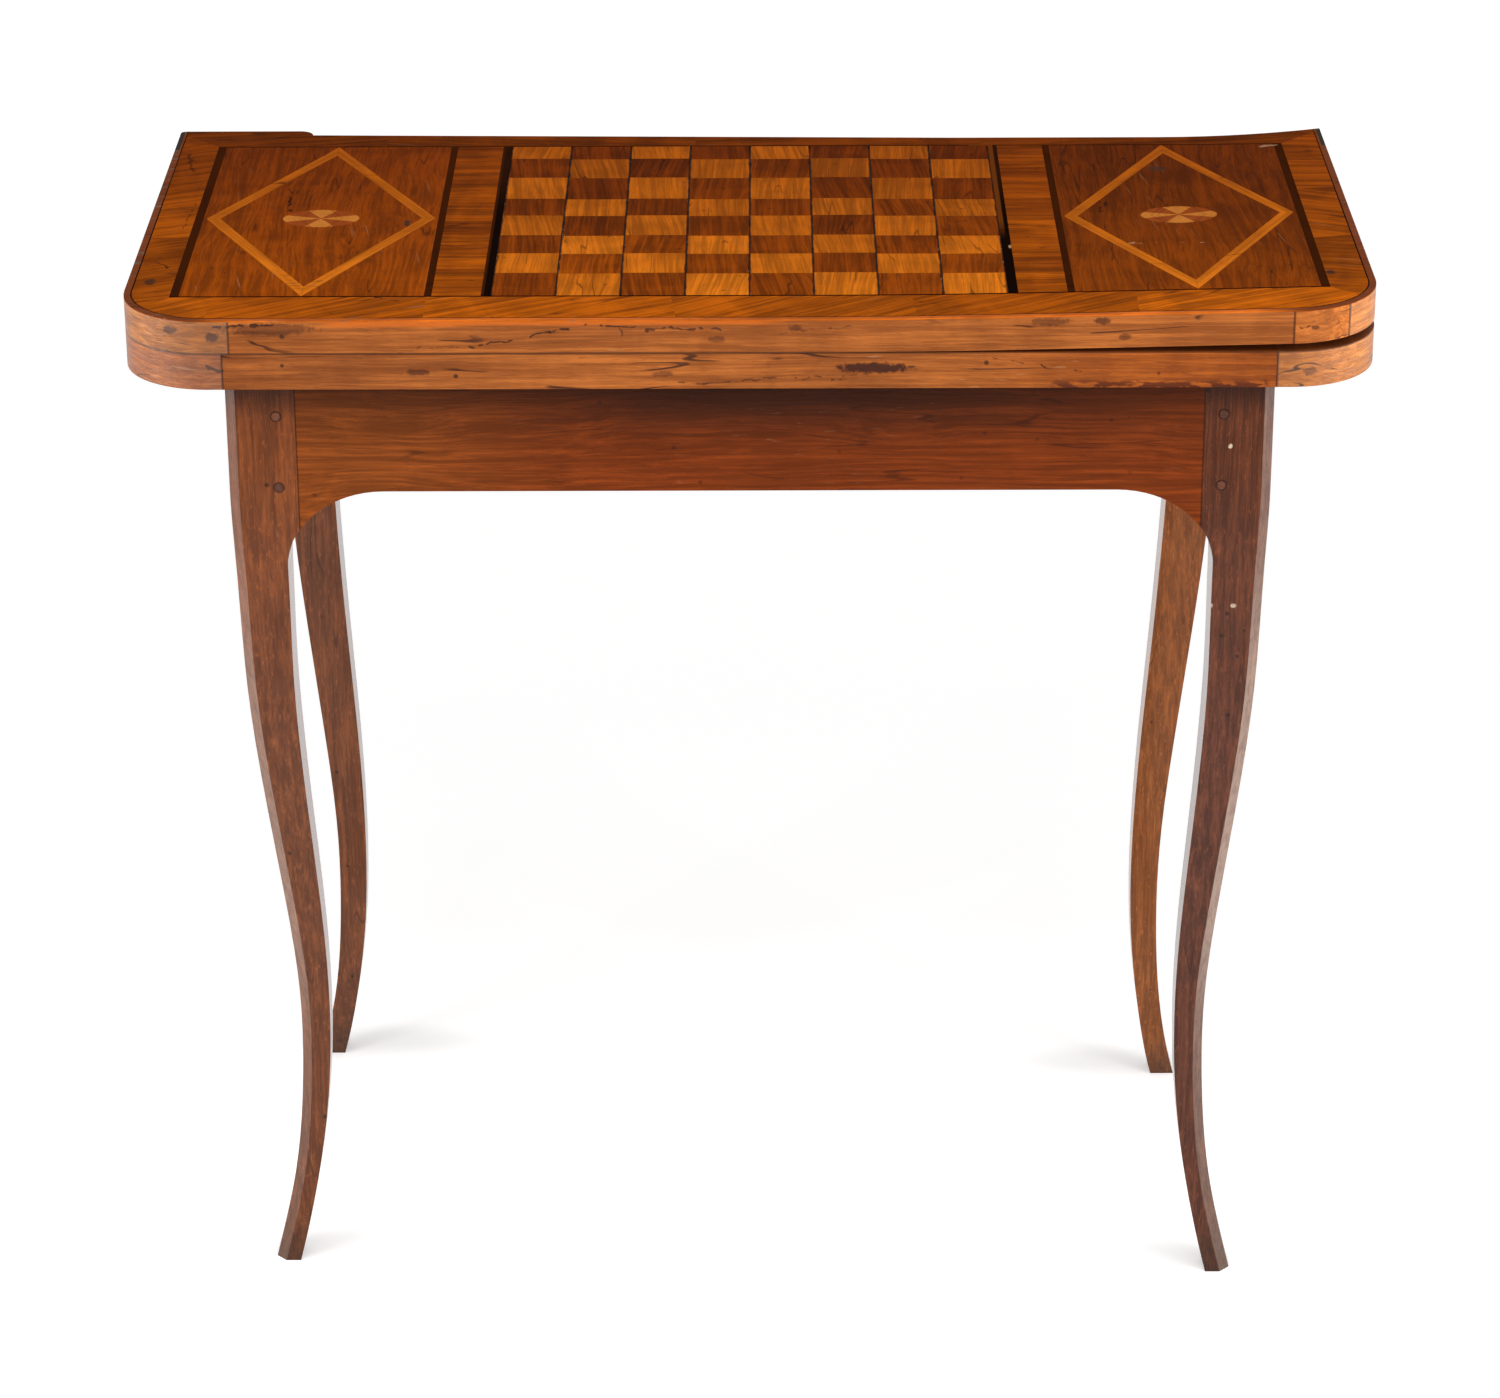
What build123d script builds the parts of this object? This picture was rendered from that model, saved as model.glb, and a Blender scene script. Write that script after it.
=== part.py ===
from build123d import *
from math import acos, atan, cos, degrees, pi, radians, sin, sqrt, tan
import os

# A fold-over games table: four cabriole legs pegged to arched aprons carry a two-leaf top.
# The lower leaf swivels on an iron pin in a cross rail, and the upper leaf folds back on
# strap hinges in the ends. X runs along the front, Y to the back, Z up from the floor.
os.makedirs("parts", exist_ok=True)

# Whole table
table_width = 840
table_depth = 422
table_height = 749
overrun = 2

# Leaves
lower_leaf_thickness = 25
upper_leaf_thickness = 23.4
front_corner_radius = 60
back_corner_radius = 4
lower_cleat_width = 70
upper_left_cleat_width = 75
upper_right_cleat_width = 60
tongue_thickness = 8
tongue_length = 12
tongue_stop = 20

# Warp of the upper leaf: its front right corner has lifted off the lower leaf
warp_turn = 35
warp_slope = 1.43
warp_start = 137
warp_bend = 120

# Worn back edge of the upper leaf
left_loss = 10
right_loss = 20
surviving_edge = 88
worn_taper = 480
right_edge_sweep = 120
right_edge_loss = 1.5
patch_width = 38
patch_depth = 34

# Baize linings
baize_end_margin = 82
baize_front_margin = 50
baize_back_margin = 18
baize_thickness = 1
baize_recess = 1.2

# Frame
side_overhang = 69
front_overhang = 13
post_width = 46.5
apron_height = 78
apron_thickness = 20
arch_reach = 67
arch_drop = 57
corner_cant = 7

# Legs, from the floor up: shares of the knee's height, of the ankle's inset, of the post's width
ankle_inset_x = 30.7
ankle_inset_y = 49.5
leg_height_shares = (0, 0.106, 0.23, 0.371, 0.513, 0.672, 0.831, 1)
inset_x_shares = (0.30, 0.74, 0.98, 1, 0.77, 0.43, 0.16, 0.04)
inset_y_shares = (0.66, 0.89, 0.99, 0.955, 0.76, 0.48, 0.25, 0.09)
leg_width_shares = (0.385, 0.375, 0.42, 0.465, 0.55, 0.64, 0.715, 0.775)
toe_flare_share = 0.27

# How far each foot has spread outward from under its post
front_left_spread_x = 7.5
front_left_spread_y = -10
front_right_spread_x = 6
front_right_spread_y = 9
back_left_spread_x = 0
back_left_spread_y = 18
back_right_spread_x = -11.5
back_right_spread_y = -19

# Pegged mortise and tenon joints
tenon_thickness = 8
tenon_length = 28
tenon_shoulder = 9
mortise_relief = 1
peg_radius = 3
peg_sides = 8
peg_length = 28
peg_proud = 0.4
peg_set_in = 12.5
peg_top_drop = 24
peg_spacing = 51
peg_clearance = 0.05

# Card well
well_board_thickness = 8
well_board_clearance = 0.5
bearer_size = 10
bearer_end_gap = 24.5
bearer_lift = 1.5

# Pivot rail and pivot
rail_width = 65
rail_thickness = 22
dovetail_length = 10
dovetail_neck = 48
dovetail_flare = 5
pin_radius = 6
pin_clearance = 0.05
plate_size = 46
plate_thickness = 3
running_gap = 0.2
washer_size = 30
washer_thickness = 2
nut_width = 22
nut_thickness = 8
pin_end = 3
pivot_screw_spacing = 30

# Strap hinges let into the ends of the leaves
eye_radius = 5.5
eye_sides = 16
eye_clearance = 0.3
strap_length = 45
strap_thickness = 3
strap_gap = 0.2
rivet_radius = 2
rivet_clearance = 0.05
rivet_head_radius = 3.5
rivet_head_thickness = 1
pocket_relief = 0.3
strap_screw_margin = 12
strap_screw_spacing = 22

# Wood screws
screw_head_radius = 3.5
screw_head_depth = 1.8
screw_shank_radius = 1.7
screw_length = 16
screw_sides = 8

# Marquetry on the upper leaf
veneer_thickness = 1
veneer_joint = 0.2
cell = 43.4
column_joint = 0.8
row_joint_shares = (0, 0.138, 0.263, 0.381, 0.513, 0.627, 0.774, 0.909, 1)
column_slip_shares = (0.03, -0.01, 0.02, -0.02, -0.01, 0.02, -0.03, -0.05)
front_border_width = 47
back_border_width = 37.5
end_border_width = 31.6
board_line_width = 6.4
band_width = 33
band_line_width = 5
outer_line_width = 6
thin_line_width = 2
edge_strip_width = 4.5
edge_line_width = 0.9
lozenge_strip_width = 8.5
lozenge_side_gap = 2
patera_length = 52
patera_height = 37
patera_eye_radius = 0.6
petal_count = 8
petal_swell_share = 1.03

# Places worked out from the sizes above
half_width = table_width / 2
front_edge = -table_depth / 2
back_edge = table_depth / 2 - eye_radius
frame_top = table_height - upper_leaf_thickness - lower_leaf_thickness
seam = frame_top + lower_leaf_thickness
leaf_depth = back_edge - front_edge
leaf_centre = (back_edge + front_edge) / 2
frame_half_width = half_width - side_overhang
frame_half_depth = table_depth / 2 - front_overhang
apron_bottom = frame_top - apron_height
knee_height = apron_bottom - arch_drop
post_inner_x = frame_half_width - post_width
post_inner_y = frame_half_depth - post_width
pivot_place = back_edge / 2


def finish(piece, name):
    """Label a finished piece and write it out."""
    piece.part.label = name
    export_step(piece.part, f"parts/{name}.step")


def leg_edges(half_span, ankle_inset, inset_shares, spread=0):
    """Outer and inner edge points of a leg on one face, from the floor up to the knee."""
    heights = [knee_height * share for share in leg_height_shares]
    upright = [half_span - ankle_inset * share for share in inset_shares]
    outer = [edge + spread * (1 - share) for edge, share in zip(upright, leg_height_shares)]
    inner = [edge - post_width * share for edge, share in zip(outer, leg_width_shares)]
    return list(zip(outer, heights)), list(zip(inner, heights))


def arch_joint(post_inner, knee):
    """Angle on the arch's ellipse where it crosses the joint between post and apron."""
    return degrees(acos((post_inner - knee + arch_reach) / arch_reach))


knee_x = leg_edges(frame_half_width, ankle_inset_x, inset_x_shares)[1][-1][0]
knee_y = leg_edges(frame_half_depth, ankle_inset_y, inset_y_shares)[1][-1][0]


def leg_outline(half_span, edges):
    """Closed outline of a leg on one face: straight post, S-curved leg and arch bracket."""
    outer, inner = edges
    knee = inner[-1][0]
    joint_angle = arch_joint(half_span - post_width, knee)
    with BuildLine() as outline:
        top = Line((half_span - post_width, frame_top), (half_span, frame_top))
        post = Line(top @ 1, (half_span, apron_bottom))
        Spline(post @ 1, *reversed(outer), tangents=((0, -1), (toe_flare_share, -1)))
        Line(outer[0], inner[0])
        Spline(*inner, tangents=((-toe_flare_share, 1), (0, 1)))
        bracket = EllipticalCenterArc(
            (knee - arch_reach, knee_height), arch_reach, arch_drop, start_angle=0, arc_size=joint_angle
        )
        Line(bracket @ 1, top @ 0)
    return outline.line


def tenon_heights(post_inner, knee):
    """Middle height and height of the tenon of an apron."""
    joint_height = knee_height + arch_drop * sqrt(1 - ((post_inner - knee + arch_reach) / arch_reach) ** 2)
    low = joint_height + tenon_shoulder
    high = frame_top - tenon_shoulder
    return (low + high) / 2, high - low


tenon_x = tenon_heights(post_inner_x, knee_x)
tenon_y = tenon_heights(post_inner_y, knee_y)
peg_heights = (frame_top - peg_top_drop, frame_top - peg_top_drop - peg_spacing)
peg_x = post_inner_x + peg_set_in
peg_y = post_inner_y + peg_set_in
tenon_centre_y = frame_half_depth - apron_thickness / 2
tenon_centre_x = frame_half_width - apron_thickness / 2


def back_right_leg(spread_x, spread_y):
    """Post, leg and arch brackets in one piece of wood, mortised for both aprons."""
    leg_face_x = leg_edges(frame_half_width, ankle_inset_x, inset_x_shares, spread_x)
    leg_face_y = leg_edges(frame_half_depth, ankle_inset_y, inset_y_shares, spread_y)
    with BuildPart() as leg:
        with BuildSketch(Plane.XZ):
            add(leg_outline(frame_half_width, leg_face_x))
            make_face()
        extrude(amount=-frame_half_depth - max(spread_y, 0) - overrun)
        with BuildSketch(Plane.YZ):
            add(leg_outline(frame_half_depth, leg_face_y))
            make_face()
        extrude(amount=frame_half_width + max(spread_x, 0) + overrun, mode=Mode.INTERSECT)
        corner = leg.edges().filter_by(lambda edge: edge.length > apron_height - overrun)
        corner = corner.sort_by_distance((frame_half_width, frame_half_depth, apron_bottom))[:2]
        chamfer(corner, length=corner_cant)
        with BuildSketch(Plane.YZ.offset(post_inner_x)):
            with Locations((tenon_centre_y, tenon_x[0])):
                Rectangle(tenon_thickness, tenon_x[1])
        extrude(amount=tenon_length + mortise_relief, mode=Mode.SUBTRACT)
        with BuildSketch(Plane.XZ.offset(-post_inner_y)):
            with Locations((tenon_centre_x, tenon_y[0])):
                Rectangle(tenon_thickness, tenon_y[1])
        extrude(amount=-tenon_length - mortise_relief, mode=Mode.SUBTRACT)
        with BuildSketch(Plane.XZ.offset(-frame_half_depth)):
            with Locations(*[(peg_x, height) for height in peg_heights]):
                RegularPolygon(peg_radius + peg_clearance, side_count=peg_sides)
        extrude(amount=peg_length, mode=Mode.SUBTRACT)
        with BuildSketch(Plane.YZ.offset(frame_half_width)):
            with Locations(*[(peg_y, height) for height in peg_heights]):
                RegularPolygon(peg_radius + peg_clearance, side_count=peg_sides)
        extrude(amount=-peg_length, mode=Mode.SUBTRACT)
    return leg.part


# Four legs: each is built as a back right one with its own spread and mirrored into place
legs = {
    "back_right_leg": (back_right_leg(back_right_spread_x, back_right_spread_y), ()),
    "back_left_leg": (back_right_leg(back_left_spread_x, back_left_spread_y), (Plane.YZ,)),
    "front_right_leg": (back_right_leg(front_right_spread_x, front_right_spread_y), (Plane.XZ,)),
    "front_left_leg": (back_right_leg(front_left_spread_x, front_left_spread_y), (Plane.YZ, Plane.XZ)),
}
for name, (leg_part, mirrors) in legs.items():
    with BuildPart() as placed_leg:
        add(leg_part)
        for plane in mirrors:
            mirror(about=plane, mode=Mode.REPLACE)
    finish(placed_leg, name)


def apron_outline(post_inner, knee):
    """Right half of an apron's face: straight lower edge that turns down into the arch bracket."""
    joint_angle = arch_joint(post_inner, knee)
    with BuildLine() as outline:
        top = Line((0, frame_top), (post_inner, frame_top))
        bracket = EllipticalCenterArc(
            (knee - arch_reach, knee_height),
            arch_reach,
            arch_drop,
            start_angle=joint_angle,
            arc_size=90 - joint_angle,
        )
        Line(top @ 1, bracket @ 0)
        straight = Line(bracket @ 1, (0, apron_bottom))
        Line(straight @ 1, top @ 0)
    return outline.line


# Dovetail at the back end of the pivot rail, in plan
well_half_width = frame_half_width - apron_thickness
well_half_depth = frame_half_depth - apron_thickness
dovetail_tip = well_half_depth + dovetail_length
with BuildSketch() as dovetail:
    Polygon(
        (pivot_place - dovetail_neck / 2, well_half_depth),
        (pivot_place + dovetail_neck / 2, well_half_depth),
        (pivot_place + dovetail_neck / 2 + dovetail_flare, dovetail_tip),
        (pivot_place - dovetail_neck / 2 - dovetail_flare, dovetail_tip),
        align=None,
    )

# Front and back aprons, housed for the pivot rail
with BuildPart() as long_apron:
    with BuildSketch(Plane.XZ.offset(-frame_half_depth)):
        add(apron_outline(post_inner_x, knee_x))
        make_face()
    extrude(amount=apron_thickness)
    with BuildSketch(Plane.YZ.offset(post_inner_x)):
        with Locations((tenon_centre_y, tenon_x[0])):
            Rectangle(tenon_thickness, tenon_x[1])
    extrude(amount=tenon_length)
    with BuildSketch(Plane.XZ.offset(-frame_half_depth)):
        with Locations(*[(peg_x, height) for height in peg_heights]):
            RegularPolygon(peg_radius + peg_clearance, side_count=peg_sides)
    extrude(amount=apron_thickness, mode=Mode.SUBTRACT)
    mirror(about=Plane.YZ)
    with BuildSketch(Plane.XY.offset(frame_top)):
        add(dovetail.sketch)
    extrude(amount=-rail_thickness, mode=Mode.SUBTRACT)
finish(long_apron, "back_apron")
with BuildPart() as front_apron:
    add(long_apron.part)
    mirror(about=Plane.XZ, mode=Mode.REPLACE)
finish(front_apron, "front_apron")

# Side aprons
with BuildPart() as side_apron:
    with BuildSketch(Plane.YZ.offset(frame_half_width)):
        add(apron_outline(post_inner_y, knee_y))
        make_face()
    extrude(amount=-apron_thickness)
    with BuildSketch(Plane.XZ.offset(-post_inner_y)):
        with Locations((tenon_centre_x, tenon_y[0])):
            Rectangle(tenon_thickness, tenon_y[1])
    extrude(amount=-tenon_length)
    with BuildSketch(Plane.YZ.offset(frame_half_width)):
        with Locations(*[(peg_y, height) for height in peg_heights]):
            RegularPolygon(peg_radius + peg_clearance, side_count=peg_sides)
    extrude(amount=-apron_thickness, mode=Mode.SUBTRACT)
    mirror(about=Plane.XZ)
finish(side_apron, "right_apron")
with BuildPart() as left_apron:
    add(side_apron.part)
    mirror(about=Plane.YZ, mode=Mode.REPLACE)
finish(left_apron, "left_apron")

# Two whittled pegs through each joint
with BuildPart() as joint_pegs:
    with BuildSketch(Plane.XZ.offset(-frame_half_depth - peg_proud)):
        with Locations(*[(peg_x, height) for height in peg_heights]):
            RegularPolygon(peg_radius, side_count=peg_sides)
    extrude(amount=peg_length)
    with BuildSketch(Plane.YZ.offset(frame_half_width + peg_proud)):
        with Locations(*[(peg_y, height) for height in peg_heights]):
            RegularPolygon(peg_radius, side_count=peg_sides)
    extrude(amount=-peg_length)
    mirror(about=Plane.YZ)
    mirror(about=Plane.XZ)
finish(joint_pegs, "joint_pegs")

# Card well: a board on two bearers between the aprons
bearer_base = apron_bottom + bearer_lift
with BuildPart() as well_bearers:
    with BuildSketch(Plane.XY.offset(bearer_base)):
        with Locations((0, well_half_depth - bearer_size / 2), (0, bearer_size / 2 - well_half_depth)):
            Rectangle(2 * (post_inner_x - bearer_end_gap), bearer_size)
    extrude(amount=bearer_size)
finish(well_bearers, "well_bearers")

with BuildPart() as well_bottom:
    with BuildSketch(Plane.XY.offset(bearer_base + bearer_size)):
        Rectangle(2 * well_half_width, 2 * well_half_depth)
        with GridLocations(2 * frame_half_width - post_width, 2 * frame_half_depth - post_width, 2, 2):
            Rectangle(post_width, post_width, mode=Mode.SUBTRACT)
        offset(amount=-well_board_clearance, kind=Kind.INTERSECTION, mode=Mode.REPLACE)
    extrude(amount=well_board_thickness)
finish(well_bottom, "well_bottom")

# Pivot rail, dovetailed from above into the front and back aprons
with BuildPart() as pivot_rail:
    with BuildSketch(Plane.XY.offset(frame_top)):
        with Locations((pivot_place, 0)):
            Rectangle(rail_width, 2 * well_half_depth)
        add(dovetail.sketch)
        mirror(dovetail.sketch, about=Plane.XZ)
    extrude(amount=-rail_thickness)
    with Locations((pivot_place, pivot_place, frame_top)):
        Hole(pin_radius + pin_clearance)
finish(pivot_rail, "pivot_rail")

# Pivot pin: a square plate let into the leaf's underside and a shank that turns in the rail
rail_base = frame_top - rail_thickness
plate_base = frame_top + running_gap
plate_top = plate_base + plate_thickness
washer_top = rail_base - running_gap
nut_top = washer_top - washer_thickness
pin_base = nut_top - nut_thickness - pin_end


screw_side_slope = (screw_head_radius - screw_shank_radius) * cos(pi / screw_sides) / screw_head_depth
screw_head_taper = degrees(atan(screw_side_slope))


def screw_shape(grow):
    """Countersunk screw that starts at the origin and runs up."""
    with BuildPart() as screw:
        with BuildSketch():
            RegularPolygon(screw_head_radius + grow, side_count=screw_sides)
        extrude(amount=screw_head_depth, taper=screw_head_taper)
        with BuildSketch(Plane.XY.offset(screw_head_depth)):
            RegularPolygon(screw_shank_radius + grow, side_count=screw_sides)
        extrude(amount=screw_length - screw_head_depth + grow)
    return screw.part


def screws(places, direction, grow=0):
    """Screws that start at the places given and run along a direction."""
    shape = screw_shape(grow)
    with BuildPart() as group:
        with Locations(*[Plane(origin=place, z_dir=direction) for place in places]):
            add(shape)
    return group.part


pivot_screw_starts = [
    (pivot_place + side * pivot_screw_spacing / 2, pivot_place + end * pivot_screw_spacing / 2, plate_base)
    for side in (-1, 1)
    for end in (-1, 1)
]
with BuildPart() as pivot_pin:
    with BuildSketch(Plane.XY.offset(plate_base)):
        with Locations((pivot_place, pivot_place)):
            Rectangle(plate_size, plate_size)
    extrude(amount=plate_thickness)
    with BuildSketch(Plane.XY.offset(plate_base)):
        with Locations((pivot_place, pivot_place)):
            Circle(pin_radius)
    extrude(amount=pin_base - plate_base)
    add(screws(pivot_screw_starts, (0, 0, 1), peg_clearance), mode=Mode.SUBTRACT)
finish(pivot_pin, "pivot_pin")

with BuildPart() as pivot_screws:
    add(screws(pivot_screw_starts, (0, 0, 1)))
finish(pivot_screws, "pivot_screws")

with BuildPart() as pivot_washer:
    with BuildSketch(Plane.XY.offset(washer_top)):
        with Locations((pivot_place, pivot_place)):
            Rectangle(washer_size, washer_size)
            Circle(pin_radius + pin_clearance, mode=Mode.SUBTRACT)
    extrude(amount=-washer_thickness)
finish(pivot_washer, "pivot_washer")

with BuildPart() as pivot_nut:
    with BuildSketch(Plane.XY.offset(nut_top)):
        with Locations((pivot_place, pivot_place)):
            Rectangle(nut_width, nut_width)
            Circle(pin_radius + pin_clearance, mode=Mode.SUBTRACT)
    extrude(amount=-nut_thickness)
finish(pivot_nut, "pivot_nut")


# Outlines of the leaves in plan, drawn on the floor plane
def leaf_plan():
    """Leaf outline: two large round corners in front, two small ones behind."""
    with BuildSketch() as plan:
        with Locations((0, leaf_centre)):
            Rectangle(table_width, leaf_depth)
        fillet(plan.vertices().group_by(Axis.Y)[0], radius=front_corner_radius)
        fillet(plan.vertices().group_by(Axis.Y)[-1], radius=back_corner_radius)
    return plan.sketch


def strip_plan(low_x, high_x, low_y=front_edge - overrun, high_y=back_edge + overrun):
    """Rectangle in plan between two X and two Y values."""
    with BuildSketch() as plan:
        with Locations(((low_x + high_x) / 2, (low_y + high_y) / 2)):
            Rectangle(high_x - low_x, high_y - low_y)
    return plan.sketch


def plan_within(plan, *limits, without=()):
    """The part of a plan outline inside some outlines and outside others."""
    with BuildSketch() as section:
        add(plan)
        for limit in limits:
            add(limit, mode=Mode.INTERSECT)
        for hole in without:
            add(hole, mode=Mode.SUBTRACT)
    return section.sketch


horn_end = surviving_edge - half_width
worn_turn = horn_end + worn_taper
worn_end = half_width - right_edge_sweep
lower_seam_x = half_width - lower_cleat_width
left_seam_x = upper_left_cleat_width - half_width
right_seam_x = half_width - upper_right_cleat_width
strap_front = back_edge - strap_length
pocket_depth = strap_thickness + rivet_head_thickness + pocket_relief
strap_plans = [
    strip_plan(side * half_width, side * (half_width - strap_thickness), strap_front) for side in (-1, 1)
]
lower_plan = leaf_plan()

# The upper leaf's back edge has lost its lipping, but for a rounded length at the left
with BuildSketch() as upper_outline:
    add(leaf_plan())
    with BuildLine():
        drop = Line((horn_end, back_edge + overrun), (horn_end, back_edge))
        round_end = CenterArc((horn_end, back_edge - left_loss), left_loss, start_angle=90, arc_size=-90)
        tapered = Line(round_end @ 1, (worn_turn, back_edge - right_loss))
        worn = Line(tapered @ 1, (worn_end, back_edge - right_loss))
        sweep_up = TangentArc(worn @ 1, (half_width + overrun, back_edge - right_edge_loss), tangent=(1, 0))
        corner_up = Line(sweep_up @ 1, (half_width + overrun, back_edge + overrun))
        Line(corner_up @ 1, drop @ 0)
    make_face(mode=Mode.SUBTRACT)
upper_plan = upper_outline.sketch


def solid_between(plan, low, high):
    """Plan outline extruded between two heights."""
    with BuildPart() as block:
        with BuildSketch(Plane.XY.offset(low)):
            add(plan)
        extrude(amount=high - low)
    return block.part


def warp_lift(along):
    """How far the upper leaf has lifted off the lower one at a distance along the warp."""
    beyond = max(along - warp_start, 0)
    if beyond < warp_bend:
        warp_radius = warp_bend / sin(radians(warp_slope))
        return warp_radius - sqrt(warp_radius**2 - beyond**2)
    return warp_bend * tan(radians(warp_slope / 2)) + (beyond - warp_bend) * tan(radians(warp_slope))


def lift_at(x, y):
    """How far the upper leaf has lifted off the lower one at a place in plan."""
    return warp_lift(x * cos(radians(warp_turn)) - y * sin(radians(warp_turn)))


warp_plane = Plane(
    origin=(0, 0, seam),
    x_dir=(cos(radians(warp_turn)), -sin(radians(warp_turn)), 0),
    z_dir=(-sin(radians(warp_turn)), -cos(radians(warp_turn)), 0),
)
corner_lift = lift_at(half_width, front_edge)


def warped(plan, low, high):
    """Plan outline carried up through the upper leaf between two heights over its warped underside."""
    reach = half_width + leaf_depth
    bend_end = warp_start + warp_bend
    with BuildPart() as block:
        with BuildSketch(warp_plane):
            with BuildLine():
                flat_low = Line((-reach, low), (warp_start, low))
                bend_low = TangentArc(flat_low @ 1, (bend_end, low + warp_lift(bend_end)), tangent=(1, 0))
                rise_low = Line(bend_low @ 1, (reach, low + warp_lift(reach)))
                end = Line(rise_low @ 1, (reach, high + warp_lift(reach)))
                rise_high = Line(end @ 1, (bend_end, high + warp_lift(bend_end)))
                bend_high = TangentArc((warp_start, high), rise_high @ 1, tangent=(1, 0))
                flat_high = Line(bend_high @ 0, (-reach, high))
                Line(flat_high @ 1, flat_low @ 0)
            make_face()
        extrude(amount=reach, both=True)
        extrude(plan, amount=table_height + corner_lift + overrun, mode=Mode.INTERSECT)
    return block.part


# Strap hinges
def strap_screw_starts(side, upper):
    """Where the two screws of a strap start, half way up the leaf."""
    first = back_edge - strap_screw_margin
    starts = []
    for place_y in (first, first - strap_screw_spacing):
        height = seam - lower_leaf_thickness / 2
        if upper:
            height = seam + upper_leaf_thickness / 2 + lift_at(side * half_width, place_y)
        starts.append((side * half_width, place_y, height))
    return starts


def eye_disc(start_x, length, radius):
    """Round block on the hinge axis, from a place on X along a length."""
    with BuildPart() as disc:
        with BuildSketch(Plane.YZ.offset(start_x)):
            with Locations((back_edge, seam)):
                RegularPolygon(radius, side_count=eye_sides)
        extrude(amount=length)
    return disc.part


def strap(side, upper):
    """One strap: a plate as thick as the leaf and an eye of half the thickness round the rivet."""
    end_face = side * half_width
    half_thickness = side * strap_thickness / 2
    middle = end_face - half_thickness
    plan = strap_plans[(side + 1) // 2]
    with BuildPart() as piece:
        if upper:
            add(warped(plan_within(plan, upper_plan), -corner_lift - overrun, upper_leaf_thickness))
            add(solid_between(plan, seam + strap_gap, table_height + corner_lift + overrun), mode=Mode.INTERSECT)
            add(eye_disc(middle, 2 * half_thickness, eye_radius + eye_clearance), mode=Mode.SUBTRACT)
            add(eye_disc(middle, -half_thickness, eye_radius))
        else:
            add(solid_between(plan_within(plan, lower_plan), frame_top, seam - strap_gap))
            add(eye_disc(middle, -2 * half_thickness, eye_radius + eye_clearance), mode=Mode.SUBTRACT)
            add(eye_disc(middle, half_thickness, eye_radius))
        add(eye_disc(end_face, -side * pocket_depth, rivet_radius + rivet_clearance), mode=Mode.SUBTRACT)
        add(screws(strap_screw_starts(side, upper), (-side, 0, 0), peg_clearance), mode=Mode.SUBTRACT)
    return piece


pocket_radius = eye_radius + eye_clearance
eye_pockets = [eye_disc(side * half_width, -side * pocket_depth, pocket_radius) for side in (-1, 1)]
for side, hand in ((-1, "left"), (1, "right")):
    finish(strap(side, False), f"lower_{hand}_strap")
    finish(strap(side, True), f"upper_{hand}_strap")

with BuildPart() as lower_strap_screws:
    for side in (-1, 1):
        add(screws(strap_screw_starts(side, False), (-side, 0, 0)))
finish(lower_strap_screws, "lower_strap_screws")

with BuildPart() as upper_strap_screws:
    for side in (-1, 1):
        add(screws(strap_screw_starts(side, True), (-side, 0, 0)))
finish(upper_strap_screws, "upper_strap_screws")

with BuildPart() as hinge_rivets:
    for side in (-1, 1):
        add(eye_disc(side * half_width, -side * (strap_thickness + rivet_head_thickness), rivet_radius))
        add(eye_disc(side * (half_width - strap_thickness), -side * rivet_head_thickness, rivet_head_radius))
finish(hinge_rivets, "hinge_rivets")

# Lower leaf: a panel tongued into two end cleats, lined with baize
lower_tongue_x = lower_seam_x + tongue_length
tongue_front = front_edge + tongue_stop
lower_tongue_low = frame_top + (lower_leaf_thickness - tongue_thickness) / 2
lower_tongue = solid_between(
    strip_plan(-lower_tongue_x, lower_tongue_x, tongue_front, back_edge - tongue_stop),
    lower_tongue_low,
    lower_tongue_low + tongue_thickness,
)
baize_half = half_width - baize_end_margin
baize_front = front_edge + baize_front_margin
baize_back = back_edge - baize_back_margin
baize_plan = strip_plan(-baize_half, baize_half, baize_front, baize_back)
with BuildPart() as lower_panel:
    add(solid_between(plan_within(lower_plan, strip_plan(-lower_seam_x, lower_seam_x)), frame_top, seam))
    add(lower_tongue)
    add(solid_between(baize_plan, seam - baize_recess, seam + overrun), mode=Mode.SUBTRACT)
    with BuildSketch(Plane.XY.offset(frame_top)):
        with Locations((pivot_place, pivot_place)):
            Rectangle(plate_size + pin_clearance, plate_size + pin_clearance)
    extrude(amount=plate_top - frame_top, mode=Mode.SUBTRACT)
    add(screws(pivot_screw_starts, (0, 0, 1), peg_clearance), mode=Mode.SUBTRACT)
finish(lower_panel, "lower_panel")

for side, hand in ((-1, "left"), (1, "right")):
    end_strip = strip_plan(side * lower_seam_x, side * (half_width + overrun))
    with BuildPart() as lower_cleat:
        add(solid_between(plan_within(lower_plan, end_strip, without=strap_plans), frame_top, seam))
        add(lower_tongue, mode=Mode.SUBTRACT)
        for pocket in eye_pockets:
            add(pocket, mode=Mode.SUBTRACT)
        add(screws(strap_screw_starts(side, False), (-side, 0, 0), peg_clearance), mode=Mode.SUBTRACT)
    finish(lower_cleat, f"lower_{hand}_cleat")

with BuildPart() as lower_baize:
    add(solid_between(baize_plan, seam - baize_recess, seam - baize_recess + baize_thickness))
finish(lower_baize, "lower_baize")

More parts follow.
